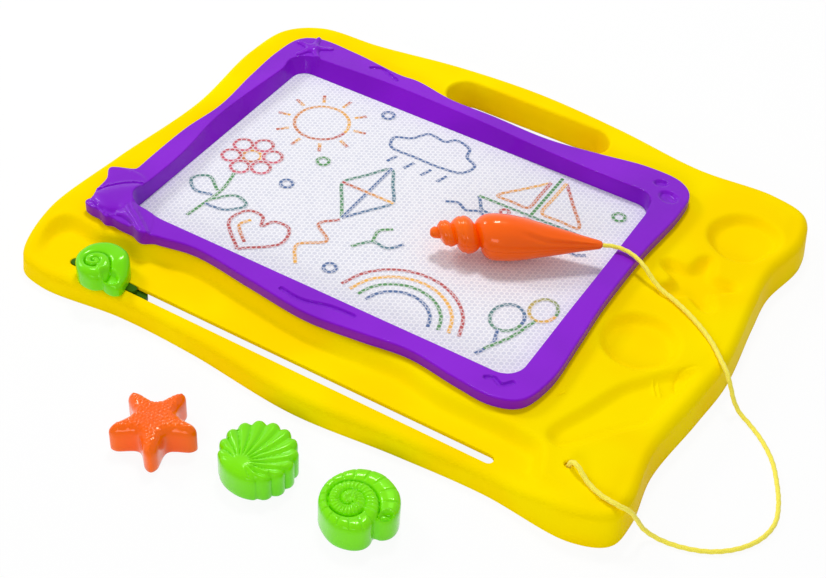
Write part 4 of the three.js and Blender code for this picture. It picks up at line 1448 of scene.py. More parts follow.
@dataclass
class Pen:
    """The pen: an orange sea shell of two halves, with its tip towards the left."""

    length: float = 97
    radius: float = 13.4
    yaw: float = 27.6
    tail: Triple = (120.3, 27.0, 30.6)
    gap: float = 0.2
    tilt: float = 0.024
    bulbs: Sequence[Triple] = ((0.03, 0.033, 0.25), (0.098, 0.06, 0.56), (0.206, 0.083, 0.8))
    creases: Sequence[Pair] = ((0.088, 0.035), (0.192, 0.035))
    crease_width: float = 0.009
    body_front: Pair = (0.4, 0.133)
    body_back: Profile = (
        (0.4, 1.0), (0.45, 0.985), (0.53, 0.91), (0.64, 0.74), (0.77, 0.53), (0.89, 0.33), (0.975, 0.2),
        (0.992, 0.16), (1.0, 0.1),
    )

    def reach(self, along: Array) -> Array:
        """The share of the pen's radius at a share of its length.

        Args:
            along: Shares of its length.

        Returns:
            One share per place.
        """
        widths = [
            wide * np.sqrt(np.maximum(1 - ((along - middle) / half) ** 2, 0)) for middle, half, wide in self.bulbs
        ]
        middle, half = self.body_front
        front = np.maximum(1 - np.abs(np.minimum(along - middle, 0) / half) ** 2.6, 0) ** (1 / 2.6)
        back = curve(self.body_back, 200, closed=False)
        widths.append(np.where(along < middle, front, np.interp(along, back[:, 0], back[:, 1])))
        widest = np.maximum.reduce(widths)
        for middle, depth in self.creases:
            widest = widest - depth * np.exp(-(((along - middle) / self.crease_width) ** 2))
        return widest

    def half(self, side: int) -> Draft:
        """One half shell.

        Args:
            side: 1 for the upper half and -1 for the lower.

        Returns:
            Its draft.
        """
        draft = Draft()
        rows = []
        around = np.linspace(0, math.pi, 73)
        seam = np.sin(around)
        places = np.concatenate([
            np.linspace(0.0, 0.304, 150), np.linspace(0.31, 0.45, 24), np.linspace(0.46, 0.97, 60),
            np.linspace(0.974, 1.0, 12),
        ])
        across, up = np.cos(around), side * np.sin(around)
        turn = np.degrees(np.arctan2(up, across))
        lean = self.tilt * (-0.85 * across - 0.5 * up)
        yaw = math.radians(self.yaw)
        for place in places:
            fade = ease(place, 0.0, 0.08) * (1 - ease(place, 0.27, 0.42))
            reach = self.reach(np.clip(place - lean * fade, 0, 1)) * self.radius
            fold = ease(place, 0.46, 0.6) * (1 - ease(place, 0.93, 0.99))
            crease = (turn - 146 + 26 * (1 - ease(place, 0.4, 0.75))) / 7
            reach = reach - fold * (0.5 * np.exp(-(crease**2)) - 0.3 * np.exp(-((crease + 2.4) ** 2)))
            lip = 0.22 * (1 - np.clip(seam * reach / 0.5, 0, 1)) ** 2
            reach = np.maximum(reach - lip, 0.02)
            x = np.full(len(around), (place - 1) * self.length - self.gap)
            y = reach * across
            z = reach * up + side * 0.02
            rows.append(draft.place(np.column_stack([
                self.tail[0] + x * math.cos(yaw) - y * math.sin(yaw),
                self.tail[1] + x * math.sin(yaw) + y * math.cos(yaw),
                self.tail[2] + z,
            ])))
        draft.loft(rows, closed=False, flip=side > 0)
        draft.cap(rows[-1], flip=side < 0)
        return draft

    def build(self, palette: Palette) -> None:
        """Makes both halves."""
        for name, side, node in (("pen_top", 1, "pen_upper_shell"), ("pen_bottom", -1, "pen_lower_shell")):
            finish_piece(self.half(side), name, 62, palette.orange, Body.PEN, [node])


@dataclass
class Cord:
    """The twisted cord from the pen's tail, round on the table and into the tray's corner."""

    diameter: float = 2.6
    pitch: float = 5.2
    strands: int = 3
    sides: int = 18
    step: float = 0.55
    relief: float = 0.07
    route: Pairs = (
        (120.3, 27.0, 30.4), (124.6, 29.2, 30.4), (130.0, 30.6, 30.2), (136.0, 30.2, 30.0), (142.0, 28.0, 29.8),
        (148.0, 25.0, 28.6), (154.5, 22.0, 25.4), (161.0, 19.6, 23.2), (169.0, 16.8, 22.7), (180.0, 11.4, 22.7),
        (191.0, 4.6, 22.7), (201.5, -3.6, 22.7), (210.0, -12.4, 22.6), (216.4, -18.6, 21.4), (220.8, -21.6, 16.0),
        (224.4, -22.0, 8.0), (229.0, -23.0, 2.6), (236.0, -26.6, 1.5), (246.0, -34.0, 1.5), (256.0, -44.5, 1.5),
        (263.5, -57.0, 1.5), (269.5, -70.0, 1.5), (272.5, -82.5, 1.5), (270.5, -95.0, 1.5), (263.5, -107.0, 1.5),
        (252.5, -116.5, 1.5), (239.5, -121.8, 1.5), (228.0, -123.6, 1.8), (220.4, -125.6, 6.0),
        (216.6, -128.6, 14.0), (213.2, -131.2, 20.4), (206.5, -132.8, 22.9), (197.0, -131.4, 22.7),
        (188.4, -127.8, 22.9), (184.6, -125.8, 24.2), (181.0, -123.9, 25.6), (178.1, -122.3, 25.1),
        (176.0, -121.2, 23.0), (175.1, -120.7, 19.9), (175.1, -120.7, 18.8),
    )

    def build(self, palette: Palette) -> None:
        """Makes the cord, which runs from the pen to the board.

        Args:
            palette: The finishes.
        """
        line = curve(self.route, 4000, closed=False)
        length = float(norm(np.diff(line, axis=0), axis=1).sum())
        count = round(length / self.step)
        line = curve(self.route, count, closed=False)
        along = np.linspace(0, length, count)
        ahead = np.gradient(line, axis=0)
        ahead /= norm(ahead, axis=1)[:, None]
        side = np.cross(ahead[0], (0, 0, 1))
        draft = Draft()
        rows = []
        around = round_turn(self.sides)
        for spot, way, travelled in zip(line, ahead, along):
            side = side - way * side.dot(way)
            side /= norm(side)
            up = np.cross(way, side)
            lay = np.cos(self.strands * (around - TURN * travelled / (self.pitch * self.strands)))
            reach = self.diameter / 2 * (1 - self.relief + self.relief * lay)
            ring = spot + reach[:, None] * (np.cos(around)[:, None] * side + np.sin(around)[:, None] * up)
            rows.append(draft.place(ring))
        draft.loft(rows, flip=True)
        draft.cap(rows[0])
        draft.cap(rows[-1], flip=True)
        piece = draft.piece("pen_string", sharp=80)
        dress(piece, palette.cord)
        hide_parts("pen_cord")
        route = [Workshop.spot(*spot) for spot in line[::2].tolist() + [line[-1].tolist()]]
        Workshop.spot(121, 27, 30)
        Workshop.spot(168, 17, 30)
        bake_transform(piece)
        log.info("pen_string: %.1f mm long, %d faces", length, len(piece.data.polygons))


# ---- tray


@dataclass
class Tray:
    """The yellow tray: a wavy plateau with a trough, recesses, a window and a handle opening."""

    inset: float = 7.2
    shoulder: float = 5.6
    draft_angle: float = 2.2 / 21
    bank: float = 5.2
    soft: float = 4.4
    spacing: float = 1.35
    recess: float = 15
    levels: Floats = (15.8, 15.6, 15.6, 17.0)
    edge_band: float = 9
    pocket: float = 5.4
    pocket_level: float = 13.4
    ledge: float = 11.0
    grip_round: float = 2.2
    cup_gap: float = 1.4
    inner_round: float = 0.5
    rib_thickness: float = 1.6
    rib_foot: float = 11.6
    rib_half: float = 24.8
    handle: tuple[float, float, float, float] = (22.66, 122.4, 112, 27)
    slot: tuple[float, float, float, float] = (5.25, -133.2, 269.5, 5.8)
    cord_hole: Pair = (0.791, -0.792)
    outline_shares: Pairs = (
        (-0.95, -0.941), (-0.85, -0.984), (-0.578, -0.951), (-0.327, -0.958), (0.04, -1.0), (0.354, -0.967),
        (0.616, -0.951), (0.877, -0.971), (0.972, -0.915), (0.987, -0.797), (0.964, -0.582), (0.987, -0.275),
        (1.0, -0.046), (0.974, 0.281), (0.964, 0.458), (0.993, 0.706), (0.951, 0.869), (0.825, 0.922),
        (0.579, 0.908), (0.275, 0.967), (-0.039, 1.0), (-0.337, 0.977), (-0.63, 0.915), (-0.85, 0.889),
        (-0.96, 0.771), (-0.986, 0.542), (-0.955, 0.118), (-0.986, -0.34), (-0.999, -0.732),
    )
    trough_shares: Pairs = (
        (-0.892, -1.092), (0.783, -1.092), (0.762, -0.993), (0.726, -0.869), (0.694, -0.778), (0.631, -0.758),
        (0.385, -0.752), (0.244, -0.719), (0.118, -0.729), (-0.081, -0.729), (-0.232, -0.706), (-0.463, -0.676),
        (-0.625, -0.706), (-0.772, -0.742), (-0.903, -0.742), (-0.945, -0.81), (-0.934, -0.928),
    )
    marks: Sequence[tuple[Pairs, float, float]] = (
        (((208, -22), (200, -23), (195, -31), (197, -41), (205, -47)), -0.7, 1.0),
        (((206, -29), (201.5, -32), (202, -38), (206, -41)), 0.6, 0.9),
        (((184.5, -41.5), (187.5, -47), (191.5, -52.5)), 0.6, 0.7),
        (((187.0, -40.5), (190.0, -46), (194.0, -51.5)), 0.5, 0.7),
        (((148.5, -82.5), (149.5, -79.5), (151.5, -76.5)), -0.7, 1.1),
        (((196, -135), (198.5, -133.2), (200, -131)), -0.6, 1.1),
        (((186, 20), (189, 22), (190, 26), (188, 29)), -0.5, 0.9),
    )
    rib_shares: Pairs = ((0.83, -0.45), (0.83, 0.06), (0.86, 0.44), (-0.86, -0.45), (-0.86, 0), (-0.86, 0.45))

    def __post_init__(self) -> None:
        """Draws the outlines that the tray's surfaces follow."""
        on = PLAN.on_tray
        self.outline = curve(on(self.outline_shares), 1150)
        self.trough = curve(on(self.trough_shares), 620)
        self.edge = shrunk(self.outline, self.inset)
        self.edge_level = smooth_round(self.step_down(self.edge), 30, 10.0)
        self.window = PLAN.window_loop(1.6)
        x, y, length, depth = self.handle
        self.grip = stadium(length, depth, 1.2) + (x, y)
        x, y, length, depth = self.slot
        self.slit = stadium(length, depth, 1.2) + (x, y)
        angle = round_turn(28)
        self.eyelet = polar(2.5, angle) + on([self.cord_hole])[0]
        star, scallop, nautilus, pen = on(((0.783, 0.255), (0.747, -0.15), (0.83, 0.588), (0.717, -0.722)))
        half = (0.99, 4), (0.7, 9.5), (0.45, 13), (0.3, 11.2), (0.22, 10.4), (0.13, 7.6), (0.04, 3.4)
        cup = [(-97 * (1 - along), -reach) for along, reach in half[::-1]]
        cup = curve(cup + [(x, -y) for x, y in cup[::-1]], 190)
        round_shell = [(0.97 - 0.07 * math.cos(a - 3.5), a) for a in round_turn(16)]
        fan = curve([(20.5 * r * math.cos(a), 20.5 * r * math.sin(a)) for r, a in round_shell], 150)
        self.cups = [
            turned(star_outline(23, 170), 21, star),
            turned(fan, 50, scallop),
            turned(snail_outline(20.5, 150, NAUTILUS_CORNERS[3:15]), -30, nautilus),
            turned(cup, 241.6, pen),
        ]

    def step_down(self, points: Array) -> Array:
        """The height across the step from the plateau down to the trough.

        Args:
            points: Plan points.

        Returns:
            One height per point.
        """
        depth = depth_in(points, self.trough, 8)
        fall = PLAN.plateau - PLAN.trough
        return PLAN.plateau - fall * ease(depth, -self.bank, self.bank)

    def top(self, points: Array) -> Array:
        """The height of the tray's upper surface.

        Args:
            points: Plan points.

        Returns:
            One height per point.
        """
        x, y = points[:, 0], points[:, 1]
        clear = -depth_in(points, self.window, 40)
        wave = 0.4 * np.sin(x / 15 + 1) * np.sin(y / 18 + 2) * ease(clear, 20, 36)
        height = self.step_down(points) + wave * ease(-depth_in(points, self.trough, 20), 2, 14)
        for cup, level in zip(self.cups, self.levels):
            depth = depth_in(points, cup, 8)
            height -= (height - level) * ease(depth, -self.soft, self.soft)
        for path, rise, width in self.marks:
            height += rise * ridge(points, path, width)
        inside = depth_in(points, self.edge[::4], 1)
        for chosen in blocks(np.flatnonzero(inside < self.edge_band)):
            gap = ((points[chosen, None] - self.edge[None]) ** 2).sum(axis=2)
            level = self.edge_level[gap.argmin(axis=1)]
            share = ease(inside[chosen], 0, self.edge_band)
            height[chosen] = level * (1 - share) + height[chosen] * share
        return height

    def under(self, points: Array) -> Array:
        """The height of the tray's lower surface.

        Args:
            points: Plan points.

        Returns:
            One height per point.
        """
        wall, turn = PLAN.wall, self.inner_round
        level = PLAN.plateau - wall
        height = np.full(len(points), level)
        in_window = depth_in(points, self.window, 12)
        steps = [(depth_in(points, self.trough, 8) + wall, PLAN.trough - wall)]
        steps += [(depth_in(points, cup, 8) + self.cup_gap + wall, self.recess - wall) for cup in self.cups]
        for depth, low in (*steps, (in_window + self.pocket + wall, self.ledge)):
            height = np.minimum(height, wall_step(depth, level, low, turn, turn))
        covered = -in_window > 7
        return np.where(covered, np.minimum(height, self.top(points) - 1.3), height)

    def skirt(self, levels: Array, wall: float) -> list[tuple[Array, Array]]:
        """The rings of the tray's side, from a row of upper heights down to the table.

        Args:
            levels: The surface's height along the edge.
            wall: How far inside the outer side the rings lie.

        Returns:
            Each ring's plan and heights.
        """
        lean = self.draft_angle * (levels - self.shoulder)
        radius = self.shoulder - wall
        rings = round_over(self.outline, radius, levels, np.linspace(0.12, 1, 9) * math.pi / 2, wall + lean)
        for share in (0.66, 0.33, 0):
            rings.append((shrunk(self.outline, wall + lean * share), (levels - radius) * share))
        return rings

    def add_top(self, draft: Draft) -> Array:
        """Draws the upper surface, its side and its openings, and returns the foot of the side.

        Args:
            draft: The tray's draft.

        Returns:
            The numbers of the foot's points.
        """
        edge = self.edge
        pocket = shrunk(self.window, -self.pocket)
        grip = shrunk(self.grip, -self.grip_round)
        slit = shrunk(self.slit, -0.7)
        eyelet = shrunk(self.eyelet, -0.8)
        features = []
        for path, _, width in self.marks:
            features += beside(path, [width * share for share in (-1.6, -0.9, -0.4, 0, 0.4, 0.9, 1.6)], 0.6)
        rows = draft.sheet(edge, [pocket, grip, slit, eyelet], features, self.spacing, self.top)
        foot = draft.hang(rows[0], self.skirt(self.top(edge), 0))
        steps = [(pocket, self.pocket_level), (self.window, self.pocket_level), (self.window, self.ledge)]
        draft.hang(rows[1], steps, flip=True)
        level = PLAN.plateau
        rounds = round_over(self.grip, self.grip_round, level, np.linspace(0.2, math.pi / 2, 6), side=-1)
        draft.hang(rows[2], [*rounds, (self.grip, 10.0), (self.grip, 1.6), (shrunk(self.grip, -1.2), 0.0),
                             (shrunk(self.grip, -2.4), 0.0), (shrunk(self.grip, -2.4), 18.6)], flip=True)
        floor = PLAN.trough
        draft.hang(rows[3], [(shrunk(self.slit, -0.3), floor - 0.12), (self.slit, floor - 0.5),
                             (self.slit, floor - 2.4)], flip=True)
        draft.hang(rows[4], [(shrunk(self.eyelet, -0.3), level - 0.2), (self.eyelet, level - 0.8),
                             (self.eyelet, 18.7)], flip=True)
        return foot

    def add_underside(self, draft: Draft, foot: Array) -> None:
        """Draws the hollow underside, with its ribs and bosses, up from the foot of the side.

        Args:
            draft: The tray's draft.
            foot: The numbers of the foot's points.
        """
        edge = shrunk(self.outline, self.inset + 0.8)
        wall = PLAN.wall
        grip = shrunk(self.grip, -wall)
        slit = shrunk(self.slit, -0.05)
        shifts = (-0.6, -0.05, 0.05, 0.6)
        features = [shrunk(self.trough, -wall + shift)[::3] for shift in shifts]
        features += [shrunk(self.window, -self.pocket - wall + shift) for shift in shifts]
        features += [shrunk(cup, -self.cup_gap - wall + shift)[::2] for cup in self.cups for shift in shifts]
        rows = draft.sheet(edge, [self.window, grip, slit], features, 4.5, self.under, flip=True)
        levels = self.under(edge)
        rings = self.skirt(levels + wall, wall)
        last = draft.hang(rows[0], [(plan, np.minimum(heights, levels)) for plan, heights in rings], flip=True)
        draft.bridge(last, foot, flip=True)
        for x, y in PLAN.on_tray(self.rib_shares):
            crossing = self.outline[np.abs(self.outline[:, 1] - y) < 0.9][:, 0]
            low = max(x - self.rib_half, crossing.min() + 3.2 if x < 0 else 131)
            high = min(x + self.rib_half, crossing.max() - 3.2 if x > 0 else -131)
            places = np.linspace(low, high, 40)
            top = self.under(np.column_stack([places, np.full(40, y)])) + 0.15
            draft.rib(places, y, self.rib_thickness, self.rib_foot, np.maximum(top, 11.7))

    def build(self, palette: Palette) -> None:
        """Makes the tray.

        Args:
            palette: The finishes.
        """
        draft = Draft()
        foot = self.add_top(draft)
        self.add_underside(draft, foot)
        finish_piece(draft, "tray_shell", 48, palette.tray, Body.BOARD, ["tray"])


# ---- bezel


@dataclass
class Bezel:
    """The purple frame: a wavy outline, a whelk shell and a starfish in relief, and carved grooves."""

    edge: float = 1.1
    lip: float = 0.6
    slope: float = 3.2
    foot: float = 21.05
    spacing: float = 1.0
    star_radius: float = 13.5
    star_place: Pair = (-123, 99.4)
    body_dome: Pair = (2.5, 9.5)
    canal_dome: Pair = (1.5, 4.2)
    groove_depth: float = 1.2
    pit_depth: float = 1.5
    left_slope: Pairs = ((-80, 1.0), (-40, 1.0), (-20, 3.0), (-5, 5.0), (10, 5.6), (35, 4.6), (55, 3.2), (80, 1.2))
    back_slope: Pairs = ((-118, 4.4), (-80, 6.4), (-40, 7.2), (0, 5.6), (40, 3.2), (70, 1.6), (95, 1.0), (125, 1.6))
    pits: Pairs = ((123.3, 101.1), (132.4, 91.4))
    outline_shares: Pairs = (
        (-0.679, -1.01), (-0.487, -0.966), (-0.202, -1.01), (0.083, -1.053), (0.31, -1.024), (0.51, -0.99),
        (0.723, -1.029), (0.88, -1.043), (0.979, -0.981), (1.022, -0.787), (1.015, -0.449), (1.001, -0.111),
        (1.004, 0.372), (1.026, 0.807), (1.008, 0.981), (0.937, 1.063), (0.78, 1.077), (0.581, 1.024),
        (0.332, 0.981), (0.047, 0.99), (-0.145, 0.995), (-0.344, 1.043), (-0.437, 1.034), (-0.7, 1.082),
        (-0.893, 1.082), (-0.971, 1.01), (-0.999, 0.807), (-0.992, 0.517), (-0.967, 0.15), (-0.992, -0.159),
        (-0.985, -0.594), (-0.964, -0.903), (-0.878, -1.01),
    )
    whelk_shares: Pairs = (
        (-1.032, -0.885), (-1.012, -0.935), (-1.028, -0.985), (-0.985, -1.01), (-0.94, -1.01), (-0.893, -1.034),
        (-0.86, -0.995), (-0.8, -1.0), (-0.712, -1.048), (-0.682, -1.02), (-0.722, -0.905), (-0.835, -0.745),
        (-0.925, -0.64), (-1.018, -0.64), (-1.082, -0.68), (-1.045, -0.765),
    )
    groove_shares: Sequence[Pairs] = (
        ((-0.1, -0.965), (0.02, -0.985), (0.14, -0.945), (0.27, -0.935)),
        ((-0.59, 0.985), (-0.53, 1.02), (-0.47, 0.99), (-0.41, 0.96)),
        ((0.8, -0.955), (0.84, -0.925), (0.88, -0.945), (0.92, -0.88)),
    )
    shoulder_ridge: Pairs = (
        (-145.5, -93.5), (-142.3, -86.5), (-138.2, -80.6), (-133.6, -75.9), (-127.9, -72.2), (-122.5, -71.5),
    )
    flange_ridge: Pairs = (
        (-143.5, -99.5), (-137.5, -102.5), (-130.0, -104.6), (-123.6, -104.6), (-118.9, -102.9), (-112.9, -104.4),
        (-106.2, -107.3), (-99, -110.5),
    )
    canal_ridges: Sequence[Pairs] = (
        ((-122.5, -87.2), (-118.0, -92.2), (-110.6, -97.0), (-101.1, -103.4), (-94.6, -108.2)),
        ((-122.5, -91.6), (-117.0, -96.4), (-109.6, -100.6), (-101.4, -105.9), (-95.2, -110.2)),
        ((-121.0, -97.0), (-115.8, -99.8), (-108.8, -103.8), (-101.4, -108.2), (-96.0, -111.8)),
    )
    body: Pairs = (
        (-143.2, -96.5), (-136.6, -101.8), (-127.7, -102.6), (-120.6, -99.2), (-118.9, -91.1), (-118.6, -82.9),
        (-121.5, -76.0), (-127.5, -74.0), (-133.2, -77.8), (-137.8, -82.6), (-141.7, -88.0),
    )
    canal: Pairs = (
        (-124.5, -88), (-118.0, -88.5), (-110.6, -94.5), (-100.1, -101.4), (-92.6, -107.5), (-93.5, -113.4),
        (-103.4, -110.2), (-113, -104.8), (-122.5, -101.5),
    )

    def __post_init__(self) -> None:
        """Draws the outlines."""
        self.window = PLAN.window_loop(1.0)
        self.whelk = curve(PLAN.on_rail(self.whelk_shares), 220)
        self.body_loop = curve(self.body, 120)
        self.canal_loop = curve(self.canal, 120)
        self.star = turned(star_outline(self.star_radius, 160, 0.36, 0.16), 32, self.star_place)
        self.grooves = [PLAN.on_rail(shares) for shares in self.groove_shares]
        plain = curve(PLAN.on_rail(self.outline_shares), 900)
        self.outline = self.joined(plain, self.whelk)

    @staticmethod
    def joined(first: Array, second: Array) -> Array:
        """Draws the outline of two overlapping loops, as seen from the window's centre.

        Args:
            first: One loop.
            second: The other loop.

        Returns:
            The outline, its corners slightly rounded.
        """
        angles = np.linspace(-math.pi, math.pi, 2400, endpoint=False)
        reaches = []
        for loop in (first, second):
            after = np.roll(loop, -1, axis=0)
            side = after - loop
            ray = np.column_stack([np.cos(angles), np.sin(angles)])
            across = ray[:, None, 0] * side[None, :, 1] - ray[:, None, 1] * side[None, :, 0]
            across = np.where(np.abs(across) < TINY, TINY, across)
            reach = (loop[:, 0] * side[:, 1] - loop[:, 1] * side[:, 0]) / across
            share = (loop[None, :, 0] * ray[:, None, 1] - loop[None, :, 1] * ray[:, None, 0]) / across
            reaches.append(np.where((reach > 0) & (share >= 0) & (share <= 1), reach, 0).max(axis=1))
        reach = np.maximum(*reaches)
        trace = polar(reach, angles)
        loop = spread_evenly(np.vstack([trace, trace[:1]]), 1150, True)
        return np.column_stack([smooth_round(loop[:, axis], 4, 1.6) for axis in (0, 1)])

    def slope_width(self, points: Array) -> Array:
        """How wide the inner slope is: its top edge waves along the left and back rails.

        Args:
            points: Plan points.

        Returns:
            One width per point.
        """
        x, y = points[:, 0], points[:, 1]
        left, back = (curve(slope, 90, closed=False) for slope in (self.left_slope, self.back_slope))
        on_left = ease(-x, 95, 118) * (1 - ease(y, 66, 84))
        on_back = ease(y, 66, 84)
        width = self.slope + on_left * (np.interp(y, left[:, 0], left[:, 1]) - self.slope)
        return width + on_back * (np.interp(x, back[:, 0], back[:, 1]) - self.slope)

    @staticmethod
    def dome(points: Array, loop: Array, rise: float, span: float) -> Array:
        """A dome over a loop, at its full rise where it is deeper inside than the span."""
        inside = np.clip(depth_in(points, loop, 1) / span, 0, 1)
        return rise * np.sqrt(1 - (1 - inside) ** 2)

    def whelk_rise(self, points: Array) -> Array:
        """The whelk's height over the bezel's top.

        Args:
            points: Plan points.

        Returns:
            One height per point.
        """
        depth = depth_in(points, self.whelk, 6)
        rise = np.zeros(len(points))
        near = depth > -1
        spots = points[near]
        if len(spots):
            body = self.dome(spots, self.body_loop, *self.body_dome)
            canal = self.dome(spots, self.canal_loop, *self.canal_dome)
            detail = 0.35 + np.maximum(body, canal)
            detail += 0.7 * ridge(spots, self.shoulder_ridge, 0.55, 0.08)
            detail += 0.6 * ridge(spots, self.flange_ridge, 0.7, 0.1)
            for path in self.canal_ridges:
                detail += 0.7 * ridge(spots, path, 0.9, 0.12)
            beads = np.vstack([curve(self.shoulder_ridge, 8, closed=False),
                               curve(self.flange_ridge, 16, closed=False)])
            detail += 0.35 * bump(spots, beads, 0.7) - 0.6 * bump(spots, [(-122.0, -81.0)], 2.2)
            rise[near] = detail * ease(depth[near], -0.4, 1.3)
        return rise

    def carving(self, points: Array) -> Array:
        """How deep the grooves and pits go below the bezel's top.

        Args:
            points: Plan points.

        Returns:
            One depth per point.
        """
        depth = np.zeros(len(points))
        for path in self.grooves:
            depth = np.maximum(depth, self.groove_depth * ease(ridge(points, path, 1.7, 0.1), 0.35, 0.75))
        for place, long, short, lean in zip(self.pits, (4.3, 6.2), (2.8, 5.0), (22, -20)):
            local = turned(points - place, -lean)
            out = ellipse_share(local, long, short)
            fan = np.arctan2(local[:, 0] + long, local[:, 1])
            ribs = 0.3 * np.sin(fan * 16) * ease(out, 1, 0.8) * (long > 5)
            depth = np.maximum(depth, (self.pit_depth + ribs) * ease(-out, -1.08, -0.78))
        return depth

    def top(self, points: Array) -> Array:
        """The height of the bezel's upper surface.

        Args:
            points: Plan points.

        Returns:
            One height per point.
        """
        x, y = points[:, 0], points[:, 1]
        level = PLAN.bezel - 0.3 + 0.25 * np.sin(x / 12 + 0.7) * np.sin(y / 14 + 0.4)
        height = level + self.whelk_rise(points) - self.carving(points)
        star = depth_in(points, self.star, 5)
        pebbles = 0.1 * np.sin(x * 3.1) * np.sin(y * 3.1)
        return height + ease(star, -0.2, 0.25) * (0.7 + 0.5 * np.clip(star, 0, 3) + pebbles)

    def build(self, palette: Palette) -> None:
        """Makes the bezel.

        Args:
            palette: The finishes.
        """
        draft = Draft()
        edge = shrunk(self.outline, self.edge)
        width = self.slope_width(self.window)
        rim = shrunk(self.window, -width - self.lip)
        features = [shrunk(self.outline, self.edge + place) for place in (0.5, 1.1)]
        features += [shrunk(self.window, -width - self.lip - place) for place in (0.6, 1.3)]
        features += [shrunk(self.whelk, place) for place in (0, 0.4, 0.9)]
        features += [shrunk(self.star, place) for place in (-0.2, 0.25)]
        features += [np.linspace(self.star.mean(axis=0), tip, 24)[1:-2] for tip in self.star[1::32]]
        for path in (self.shoulder_ridge, self.flange_ridge, *self.canal_ridges):
            features += beside(path, (-0.9, -0.45, 0, 0.45, 0.9), 0.6)
        for path in self.grooves:
            features += beside(path, (-2.0, -1.7, -1.3, -0.9, 0, 0.9, 1.3, 1.7, 2.0), 0.5)
        rows = draft.sheet(edge, [rim], features, self.spacing, self.top)
        crest, lip = self.top(edge), self.top(rim)
        side = round_over(self.outline, self.edge, crest, np.linspace(0.25, math.pi / 2, 6))
        shoulder = crest - self.edge
        side += [(self.outline, shoulder * share + self.foot * (1 - share)) for share in (0.6, 0.3, 0.06)]
        side += [(shrunk(self.outline, 0.12), self.foot), (shrunk(self.outline, 2.2), self.foot)]
        draft.hang(rows[0], side)
        floor = PLAN.screen + 0.12
        wall = [(shrunk(self.window, -width - self.lip * reach), lip - drop)
                for reach, drop in ((0.55, 0.08), (0.2, 0.26), (0.02, 0.52))]
        wall += [(shrunk(self.window, -width * share), (lip - self.lip) * share + floor * (1 - share))
                 for share in (0.93, 0.62, 0.31, 0)]
        draft.hang(rows[1], wall, flip=True)
        finish_piece(draft, "bezel_frame", 55, palette.bezel, Body.BOARD, ["bezel"])


# ---- drawing on the screen


BLUE: Colour = (0, 76, 140)
RED: Colour = (176, 24, 16)
PINK: Colour = (206, 60, 90)
YELLOW: Colour = (236, 170, 0)
GREEN: Colour = (34, 128, 30)


@dataclass(frozen=True)
class Stroke:
    """One line of the drawing, straight between its points or smooth through them."""

    path: Pairs
    first: Colour
    last: Colour
    closed: bool = False
    straight: bool = False

    def line(self) -> Array:
        """The points along the line.

        Returns:
            The points.
        """
        points = np.asarray(self.path, float)
        count = max(8, round(norm(np.diff(points, axis=0), axis=1).sum() / 0.8))
        if not self.straight:
            return curve(points, count, self.closed)
        eased = [points[0]]
        for here, there in zip(points[:-1], points[1:]):
            eased += [here + (there - here) * share for share in (0.06, 0.5, 0.94)]
        return curve([*eased, points[-1]], count, closed=False)


